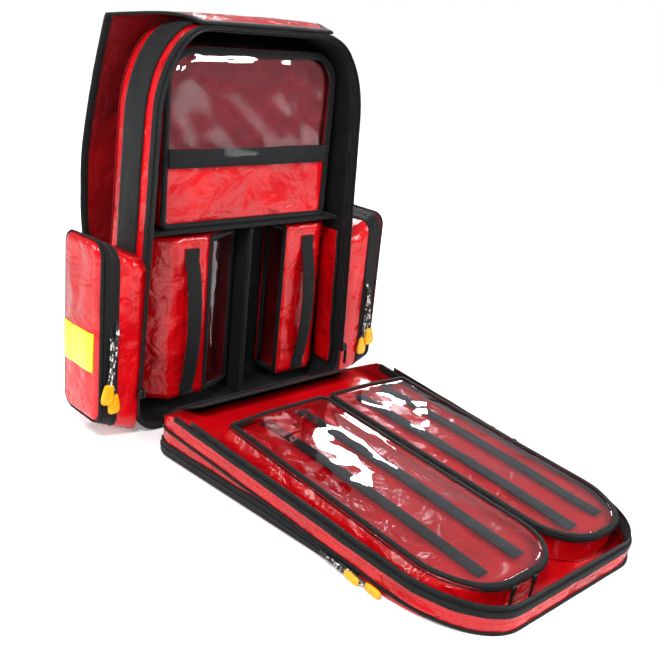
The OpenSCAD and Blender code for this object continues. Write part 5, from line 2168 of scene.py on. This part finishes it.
        slope = Vector((s.cover_depth, s.cover_slope)).normalized()
        off = Vector((-slope[1], slope[0])) * -1.2
        corner = opened(s.base_y + off[0], off[1] + 1.0)
        top = opened(s.rim_y + off[0], s.cover_slope + off[1])
        near = Vector((-s.bind_t - 1.3, 5.0))
        knots = [near, near + Vector((-1, 3)), near + Vector((-12, 8)),
            near.lerp(corner, 0.4) + Vector((0, 1)), near.lerp(corner, 0.62) + Vector((2, -1.6)),
            near.lerp(corner, 0.86) + Vector((2, -0.4)), corner + Vector((1, 0.6)),
            corner.lerp(top, 0.5), top]
        half = s.half_foot - s.foot_r - 6
        line = []
        for a, b in zip(knots, knots[1:]):
            line += [a.lerp(b, k / 5) for k in range(5)]
        line.append(knots[-1])
        rows = []
        for k in range(61):
            x = mix(-half, half, k / 60)
            row = []
            for j, q in enumerate(line):
                sag = math.sin(math.pi * j / (len(line) - 1)) * (0.9 * ripple((x, 0, j * 3), 40, 99)
                    + 0.9 * crease((x, 0, j * 3), 55, 100))
                row.append((x, q[0], max(1.4, q[1] + sag)))
            rows.append(row)
        skin = Skin()
        skin.loft(rows, closed=False)
        piece = skin.make("cover_hinge_fabric", Stand.BAG, [self.shop.palette.lining])
        thicken(piece, 1.6, 0.0)
        start = Stand.BAG.place((0, near[0] - 6, near[1] + 2))
        end = Stand.BAG.place((0, corner[0] + 6, corner[1]))
        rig.blend(piece, "bag", "lid", start=tuple(start), end=tuple(end))
        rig.slot(piece, "black_lining")
        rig.replaces(piece, "hinge_fabric")
        LOG.info("%s bends between bag and lid", piece.name)

    def pocket_ring(self) -> list[tuple[int, float, float]]:
        """The pocket's outline: rim numbers up to its height, then a straight end."""
        ring = [(i, *RIM.at(i)) for i in range(len(RIM)) if RIM.at(i)[1] <= self.pocket_h]
        cut = next(k for k in range(1, len(ring)) if ring[k][0] != ring[k - 1][0] + 1)
        a, b = ring[cut - 1], ring[cut]
        extra = [(-1, mix(a[1], b[1], k / 30), mix(a[2], b[2], k / 30)) for k in range(1, 30)]
        return ring[:cut] + extra + ring[cut:]

    def pocket(self) -> None:
        """The wedge-shaped pocket between the tray and the floor, and its zip band."""
        pal, s = self.shop.palette, SIZES
        ring = self.pocket_ring()

        def side(i: int, x: float, z: float, v: float, inset: float) -> Point:
            """A point of the pocket's wall at share v from the tray to the floor."""
            if i >= 0:
                x, z = RIM.at(i, inset)
            y = mix(s.base_y, s.lean_y(z), v)
            return x, y, max(0.2, z)

        rings = []
        for v, inset in ((0.0, 1.6), (0.1, 1.2), (0.25, 0.8), (0.4, 0.6), (0.55, 0.6), (0.7, 0.8),
                         (0.85, 1.0), (0.94, 1.6), (0.985, 3.4), (0.997, 8.0)):
            rings.append([side(i, x, z, v,
                        inset - (0 if v in (0.0, 0.997) else 1.3 * math.sin(math.pi * v)
                        * (ripple((x, v * 40, z), 46, 101) + crease((x, v * 40, z), 60, 102))))
                    for i, x, z in ring])
        skin = Skin()
        made = skin.loft(rings)
        skin.cap(made[-1], 10)
        dress(skin, "front_pocket_bag", pal.reds, "lid", "red_tarpaulin", "front_pocket",
            stand=Stand.COVER, wall=1.6, inner_slot=1)
        band, loops, seams = Skin(), [], []
        numbers = [i for i, _, z in ring if i >= 0 and 12 <= z <= 410]
        cut = next(k for k in range(1, len(numbers)) if numbers[k] != numbers[k - 1] + 1)
        for part in (numbers[:cut], numbers[cut:]):
            rows, loop, rim_rows = [], [], ([], [])
            for i in part:
                x, z = RIM.at(i)
                sway = 0.6 * ripple((x, 0, z), 30, 103)
                wide = min(self.zip_band, max(2.0, s.base_y - s.lean_y(z) - 5))
                y0 = s.lean_y(z) + 2.2
                out = [(y0, -1.6), (y0, 0.9), (y0 + 1.4, 1.7 + sway), (y0 + wide / 2, 1.2 + sway),
                    (y0 + wide - 1.4, 1.7 + sway), (y0 + wide, 0.9), (y0 + wide, -1.6)]
                rows.append([rim_point(i, y, o) for y, o in out])
                loop.append(rim_point(i, y0 + wide / 2, 2.1 + sway))
                for row, share in zip(rim_rows, (0.16, 0.84)):
                    row.append(rim_point(i, y0 + wide * share, 2.1 + sway))
            band.rod(rows)
            loops.append(loop)
            seams += rim_rows
        dress(band, "front_pocket_zip_band", [pal.binding], "lid", "black_zip", "front_pocket_zip",
            stand=Stand.COVER)
        self.shop.sewing.lay("front_pocket_teeth", Row.COIL, loops, "lid", "black_zip",
            stand=Stand.COVER)
        self.shop.sewing.lay("front_pocket_stitches", Row.TOPSTITCH, seams, "lid", "black_zip",
            stand=Stand.COVER)

    def pulls(self) -> None:
        """The sliders of the cover's pocket, whose cords lie along its side."""
        s = SIZES
        for k, z in enumerate(self.pull_z):
            x, y = -s.side_x(z) - 0.6, s.lean_y(z + 66) + 4.6
            skin = Skin()
            skin.plate(corner_box(y - 3.3, y + 3.3, z - 6.8, z + 6.8, 1.6, [1, 2, 1, 2], 4),
                x - 4.4, x - 1.4, lambda a, b, c: (c, a, b), 0.5)
            dress(skin, f"front_pocket_slider_{'ab'[k]}", [self.shop.palette.plastic], "lid",
                "orange_plastic", stand=Stand.COVER)
            Pull(self.shop).hang(f"front_pocket_pull_{'ab'[k]}", "front_pocket_pulls", "lid",
                Stand.COVER, (x - 4.0, y, z + 5), (0.0, -0.02, 1.0), (0, 1, 0), self.cord_length,
                (6.0, 12.0), k > 0)


# ------------------------------------------------------------------ pouches in the cover


@dataclass
class Pouch:
    """A long pouch in the cover: red sides, zip, elastic straps and a crowned clear window."""

    shop: Workshop
    side: int
    floor: float = -41.9
    top: float = -2.9
    foot: float = 120.0
    end: float = 544.0
    inner: float = 8.0
    inner_right: float = -16.0
    outer: float = -172.0
    band: float = 5.0

    @property
    def word(self) -> str:
        """Left or right."""
        return "left" if self.side < 0 else "right"

    @property
    def span(self) -> tuple[float, float]:
        """Outer and inner edge, as the left one lies; the right one is narrower."""
        return self.outer, self.inner if self.side < 0 else self.inner_right

    def outline(self) -> Contour:
        """The pouch's outline in x and z, as the left one lies."""
        x0, x1 = self.span
        f, e = self.foot, self.end
        return Contour([(x1 - 12, f + 12, 12, 12, -90, 0), (x1 - 62, e - 64, 62, 64, 0, 90),
                (x0 + 78, e - 84, 78, 84, 90, 180), (x0 + 12, f + 12, 12, 12, 180, 270)],
            [5, 14, 16, 5], [24, 12, 48, 60])

    @staticmethod
    def spread(x: float, z: float) -> float:
        """How much of the outer side's slope the wall has at a point of the outline."""
        return smooth((-x - 90) / 70) * smooth((556 - z) / 60)

    def drawn_in(self, x: float, z: float) -> float:
        """How far the top edge is drawn in, on the outer side where the red wall leans over it."""
        return 6.0 * self.spread(x, z)

    def spot(self, x: float, y: float, z: float) -> Point:
        """A point of this pouch, mirrored for the right one."""
        return (x if self.side < 0 else -x), y, z

    def loop(self, shape: Contour, rise: float, inset: float) -> Ring:
        """A closed path round the top edge, at a height over it and drawn in by inset."""
        path = []
        for i in range(len(shape) + 1):
            a, b = shape.at(i, inset + self.drawn_in(*shape.at(i)))
            path.append(self.spot(a, self.top + rise, b))
        return path

    def build(self) -> None:
        """Builds the pouch."""
        pal, shape = self.shop.palette, self.outline()
        n, seed = len(shape), 110 + 10 * (self.side > 0)
        deep = self.top - self.floor
        skin, rings = Skin(), []
        for k in range(15):
            v = k / 14
            ring = []
            for i in range(n):
                x, z = shape.at(i)
                spread = self.spread(x, z)
                lean = mix(6.0 * (1 - v) ** 1.3, 6.0 * v - 12.0 * (1 - v), spread)
                soft = math.sin(math.pi * v) * (3.4 * crease((x, v * 22, z), 52, seed) + 2.6
                    * ripple((x, v * 24, z), 40, seed + 1) + 0.8 * ripple((x, v * 40, z), 14,
                        seed + 2) + mix(-1.6, 1.0, spread))
                a, b = shape.at(i, lean - soft + (0.3 if v < 1 else 0.2))
                ring.append(self.spot(a, self.floor + 0.4 + (deep - 0.8) * v, b))
            rings.append(ring)
        made = skin.loft(rings[::-1])
        skin.cap(made[-1], 8)
        dress(skin, f"pouch_{self.word}_sides", pal.reds, "lid", "red_tarpaulin",
            f"pouch_{self.word}", stand=Stand.COVER, wall=1.6)
        rim = Skin()
        rows = []
        for i in range(n):
            x, z = shape.at(i)
            sway = 0.6 * ripple((x, 0, z), 24, seed + 3) - self.drawn_in(x, z)
            row = []
            for inset, y in ((0.4, -6.6), (-0.9 - sway, -6.3), (-1.2 - sway, -3.6), (-0.8, -0.9),
                             (0.6, -0.5), (0.8, -1.6), (0.6, -5.0)):
                a, b = shape.at(i, inset + (self.drawn_in(x, z) if inset >= -0.8 else 0.0))
                row.append(self.spot(a, self.top + y + 0.2, b))
            rows.append(row)
        rim.loft(rows, around=True)
        dress(rim, f"pouch_{self.word}_zip_band", [pal.tape], "lid", "red_tarpaulin",
            f"pouch_{self.word}", stand=Stand.COVER)
        loop = self.loop(shape, -3.2, -1.5)
        self.shop.sewing.lay(f"pouch_{self.word}_teeth", Row.COIL, [loop], "lid", "red_tarpaulin",
            stand=Stand.COVER)
        self.elastic(seed)
        self.window(shape, seed)
        self.sliders()

    def elastic(self, seed: int) -> None:
        """Lengthwise elastic straps under the window."""
        pal = self.shop.palette
        x0, x1 = self.span
        skin = Skin()
        for share, wide, finish in ((0.34, 17, 0), (0.7, 19, 1)):
            x = mix(x0, x1, share)
            ends = (self.foot + 14, self.end - 30)
            path = []
            for k in range(41):
                z = mix(*ends, k / 40)
                puff = 3.0 * math.sin(math.pi * k / 40)
                path.append(self.spot(x + 1.2 * ripple((x, 0, z), 70, seed + 4),
                        self.top - 3.6 + puff + 0.9 * ripple((x, 0, z), 30, seed + 5), z))
            skin.strap(path, (1, 0, 0), wide, 1.4, finish)
        dress(skin, f"pouch_{self.word}_elastic", [pal.binding, pal.elastic], "lid",
            "black_webbing", stand=Stand.COVER)
        inner = Skin()
        shape = self.outline()
        ring = inner.ring([self.spot(a, self.top - 8.0, b) for a, b in shape.points(3.0)])
        inner.cap(ring, 14, lift=lambda t, p: (p[0], p[1] + 3.0 * smooth(t * 2) + 1.6
                * ripple(p, 40, seed + 6) + 1.6 * crease(p, 60, seed + 7), p[2]))
        dress(inner, f"pouch_{self.word}_inner_sheet", [pal.red], "lid", "red_tarpaulin",
            f"pouch_{self.word}", stand=Stand.COVER, wall=0.8)

    def window(self, shape: Contour, seed: int) -> None:
        """The clear cover with its black edge tape, both on the window's own hinge."""
        pal, n, body = self.shop.palette, len(shape), f"cover_window_{self.word}"

        def crown(t: float, p: Point) -> Point:
            """Lifts the window into a soft crown with waves across it."""
            puff = 5.0 * smooth(t * 1.8) + smooth(t * 5) * (2.4 * ripple((p[0], 0, p[2] * 0.6), 54,
                    seed + 8) + 1.0 * ripple(p, 30, seed + 9))
            return p[0], p[1] + puff, p[2]

        skin = Skin()
        ring = skin.ring([self.spot(a, self.top + 0.8, b)
                for a, b in (shape.at(i, 3.0 + self.drawn_in(*shape.at(i))) for i in range(n))])
        skin.cap(ring, 24, lift=crown)
        dress(skin, f"pouch_{self.word}_window_sheet", [pal.clear], body, "clear_vinyl",
            f"pouch_window_{self.word}", stand=Stand.COVER, facing=(0, 0, 1), wall=0.5, offset=0.0)
        tape = Skin()
        rows = []
        for i in range(n):
            x, z = shape.at(i)
            sway, drawn = 0.7 * ripple((x, 0, z), 22, seed + 3), self.drawn_in(x, z)
            row = []
            for inset, y in ((-1.1 - sway, 0.1), (-1.4 - sway, 0.9), (-0.6, 1.9),
                    (self.band * 0.5, 2.2), (self.band, 2.4 + 0.4 * sway), (self.band + 0.6, 1.4),
                    (self.band * 0.5, 0.5)):
                a, b = shape.at(i, inset + drawn)
                row.append(self.spot(a, self.top + y + 0.5, b))
            rows.append(row)
        tape.loft(rows, around=True)
        dress(tape, f"pouch_{self.word}_window_tape", [pal.binding], body, "clear_vinyl",
            f"pouch_window_{self.word}", stand=Stand.COVER)
        loop = self.loop(shape, 2.6, self.band * 0.6)
        self.shop.sewing.lay(f"pouch_{self.word}_window_stitches", Row.TOPSTITCH, [loop], body,
            "clear_vinyl", stand=Stand.COVER)

    def sliders(self) -> None:
        """Two black sliders with long flat tabs."""
        skin = Skin()

        def tab(place: Place) -> None:
            """One slider with its tab; its own a runs across, b along the tab and c off the zip."""
            skin.plate(corner_box(-3.9, 3.9, -13.8, -0.2, 2, [2, 3, 2, 3], 4), 0.4, 3.2, place, 0.8)
            skin.plate(corner_box(-2.9, 2.9, -37.6, -12.6, 2.4, [2, 5, 2, 5], 4), 1.2, 2.3, place,
                0.4)

        if self.side < 0:
            for x in (-98.0, -60.0):
                tab(lambda a, b, c, x=x: (x + a, self.top - 1 + b, self.end + c + 1.2))
        else:
            for z in (300.0, 340.0):
                tab(lambda a, b, c, z=z: (172.0 + c + 1.2, self.top - 1 + b, z + a))
        dress(skin, f"pouch_{self.word}_slider_tabs", [self.shop.palette.plastic], "lid",
            "black_plastic", f"pouch_sliders_{self.word}", stand=Stand.COVER)


@dataclass
class MainSliders:
    """The two sliders parked at the foot of the main zip."""

    shop: Workshop
    level: float = 67.0

    def build(self) -> None:
        """Builds both sliders with their tabs."""
        z = self.level
        y = -SIZES.bind_t - SIZES.zip_w - SIZES.zip_gap / 2
        for s, word in ((-1, "left"), (1, "right")):
            skin, x = Skin(), SIZES.side_x(z) - 2.5
            for c0, c1 in ((-4.4, -1.1), (1.1, 4.4)):
                skin.plate(corner_box(y - 3.9, y + 3.9, z - 6.8, z + 6.8, 2.6, [1, 2, 1, 2], 4),
                    x + c0, x + c1, lambda a, b, c: (s * c, a, b), 0.8)
            skin.plate(corner_box(y - 0.6, y + 0.6, z - 5, z + 5, 0.4, [1, 2, 1, 2], 2), x - 1.4,
                x + 1.4, lambda a, b, c: (s * c, a, b), 0.2)
            skin.plate(corner_box(y - 2.9, y + 2.9, z - 30.6, z + 3.6, 2.4, [1, 6, 1, 6], 4),
                x + 4.7, x + 6.0, lambda a, b, c: (s * c, a, b), 0.4)
            dress(skin, f"main_slider_{word}_moulding", [self.shop.palette.plastic],
                f"slider_{word}", "black_plastic", f"main_slider_{word}")


# ------------------------------------------------------------------ studio


@dataclass
class Studio:
    """White floor and surroundings, the lamps and the camera."""

    eye: Point = (-0.86445, -1.09814, 0.60834)
    yaw: float = 44.578
    pitch: float = 19.066
    roll: float = 5.851
    lens: float = 51.14

    def build(self) -> None:
        """Builds the studio."""
        self.floor()
        self.surroundings()
        self.lamp("key", (-1.5, -1.1, 2.2), (0, -0.15, 0.25), 0.7, 50.0)
        self.lamp("fill", (1.5, -1.7, 1.5), (0.1, -0.2, 0.2), 0.6, 24.0)
        self.lamp("front", (-0.2, -2.4, 1.2), (0, -0.1, 0.3), 0.4, 14.0)
        self.lamp("back", (0.9, 1.9, 2.0), (0, 0, 0.35), 0.9, 34.0)
        self.lamp("side", (-1.9, 0.6, 1.0), (-0.2, 0, 0.3), 0.7, 14.0)
        self.lamp("rim", (1.5, 1.0, 1.15), (0.0, -0.4, 0.05), 0.35, 9.0)
        self.camera()

    def floor(self) -> None:
        """White floor that keeps a soft shadow."""
        material, tree, where = blank("studio_floor")
        shader = add(tree, "ShaderNodeBsdfPrincipled",
            {"Base Color": linear("#FFFFFF"), "Roughness": 0.9, "Specular IOR Level": 0.0})
        rays = add(tree, "ShaderNodeLightPath")
        seen = add(tree, "ShaderNodeMath",
            {0: rays.outputs["Is Camera Ray"], 1: rays.outputs["Is Transmission Ray"]},
            operation="MAXIMUM")
        away = add(tree, "ShaderNodeVectorMath", {0: where}, operation="LENGTH")
        fade = add(tree, "ShaderNodeMapRange", {"Value": away.outputs["Value"], "From Min": 0.6,
                "From Max": 1.8, "To Min": 0.24, "To Max": 1.0})
        bright = add(tree, "ShaderNodeMath", {0: seen.outputs[0], 1: fade.outputs["Result"]},
            operation="MULTIPLY")
        glow = add(tree, "ShaderNodeEmission",
            {"Color": linear("#FFFFFF"), "Strength": bright.outputs[0]})
        both = add(tree, "ShaderNodeAddShader",
            {0: shader.outputs["BSDF"], 1: glow.outputs["Emission"]})
        add(tree, "ShaderNodeOutputMaterial", {"Surface": both.outputs["Shader"]})
        mesh = bpy.data.meshes.new("studio_floor")
        mesh.from_pydata([(-8, -8, -0.0006), (8, -8, -0.0006), (8, 8, -0.0006), (-8, 8, -0.0006)],
            [], [(0, 1, 2, 3)])
        mesh.materials.append(material)
        floor = bpy.data.objects.new("studio_floor", mesh)
        bpy.context.scene.collection.objects.link(floor)
        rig.stage(floor)

    def surroundings(self) -> None:
        """World that the camera sees as white, and that lights softly from all around."""
        world = bpy.data.worlds.new("studio_world")
        bpy.context.scene.world = world
        world.use_nodes = True
        tree = world.node_tree
        tree.nodes.clear()
        rays = add(tree, "ShaderNodeLightPath")
        soft = add(tree, "ShaderNodeBackground", {"Color": linear("#E6EAF0"), "Strength": 0.24})
        white = add(tree, "ShaderNodeBackground", {"Color": linear("#FFFFFF"), "Strength": 1.0})
        mirrored = add(tree, "ShaderNodeBackground", {"Color": linear("#F2F4F8"), "Strength": 0.32})
        lit = add(tree, "ShaderNodeMixShader",
            {0: rays.outputs["Is Glossy Ray"], 1: soft.outputs["Background"],
                2: mirrored.outputs["Background"]})
        both = add(tree, "ShaderNodeMixShader",
            {0: rays.outputs["Is Camera Ray"], 1: lit.outputs["Shader"],
                2: white.outputs["Background"]})
        add(tree, "ShaderNodeOutputWorld", {"Surface": both.outputs["Shader"]})

    def lamp(self, name: str, place: Point, target: Point, size: float, power: float) -> None:
        """A square soft lamp that faces its target.

        Args:
            name: The lamp's name.
            place: Where it stands, in metres.
            target: What it faces.
            size: Its width in metres.
            power: Its power in watts.
        """
        data = bpy.data.lights.new(f"lamp_{name}", "AREA")
        data.shape, data.size, data.energy = "SQUARE", size, power
        lamp = bpy.data.objects.new(f"lamp_{name}", data)
        lamp.location = place
        lamp.rotation_euler = (Vector(target) - Vector(place)).to_track_quat("-Z", "Y").to_euler()
        bpy.context.scene.collection.objects.link(lamp)
        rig.stage(lamp)

    def camera(self) -> None:
        """The view from the front left, a little above."""
        yaw, pitch, roll = (math.radians(v) for v in (self.yaw, self.pitch, self.roll))
        ahead = Vector((math.sin(yaw) * math.cos(pitch), math.cos(yaw) * math.cos(pitch),
                -math.sin(pitch)))
        right = Vector((math.cos(yaw), -math.sin(yaw), 0))
        up = right.cross(ahead)
        right, up = (right * math.cos(roll) + up * math.sin(roll), up * math.cos(roll) - right
            * math.sin(roll))
        data = bpy.data.cameras.new("main_view")
        data.lens, data.sensor_width = self.lens, 36.0
        data.clip_start, data.clip_end = 0.05, 50.0
        camera = bpy.data.objects.new("main_view", data)
        camera.matrix_world = Matrix.LocRotScale(Vector(self.eye),
            Matrix((right, up, -ahead)).transposed().to_quaternion(), None)
        bpy.context.scene.collection.objects.link(camera)
        bpy.context.scene.camera = camera
        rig.stage(camera)


# ------------------------------------------------------------------ the whole


def write_sizes(cad: Sequence[Sequence[float]], visual: Sequence[Sequence[float]]) -> None:
    """Args:
        cad: Lowest and highest corner of the CAD model.
        visual: Lowest and highest corner of the visual model.
    """
    sizes = {"cad": [list(corner) for corner in cad], "visual": [list(corner) for corner in visual]}
    with open(SIZE_FILE, "w", encoding="utf-8") as f:
        json.dump(sizes, f, indent=1)
    LOG.info("the boxes are %s", sizes)


def main() -> None:
    """Builds every sub-assembly and the studio."""
    logging.basicConfig(level=logging.INFO, format="%(name)s: %(message)s")
    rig.load()
    cad_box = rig.bounds()
    scene = bpy.context.scene
    scene.view_settings.view_transform = "Standard"
    palette = Palette()
    shop = Workshop(palette, Sewing(palette))
    parts = [Compartment(shop), HarnessCover(shop), Harness(shop), SidePocket(shop, -1),
        SidePocket(shop, 1), UpperModule(shop),
        LowerModule(shop, "left", [(-124, 30), (-64, 30), (0, 56), (0, 89.5), (-164, 89.5),
                (-164, 62)], (26, -64), -94.0),
        LowerModule(shop, "right", [(152, 30), (84, 30), (84, 81.5), (84, 89.5), (174, 89.5),
                (174, 46)], (-1, 0), 128.0), Cover(shop), Pouch(shop, -1), Pouch(shop, 1),
        MainSliders(shop), Studio(),]
    for part in parts:
        LOG.info("building %s", type(part).__name__)
        part.build()
    write_sizes(cad_box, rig.bounds())


if __name__ == "__main__":
    main()
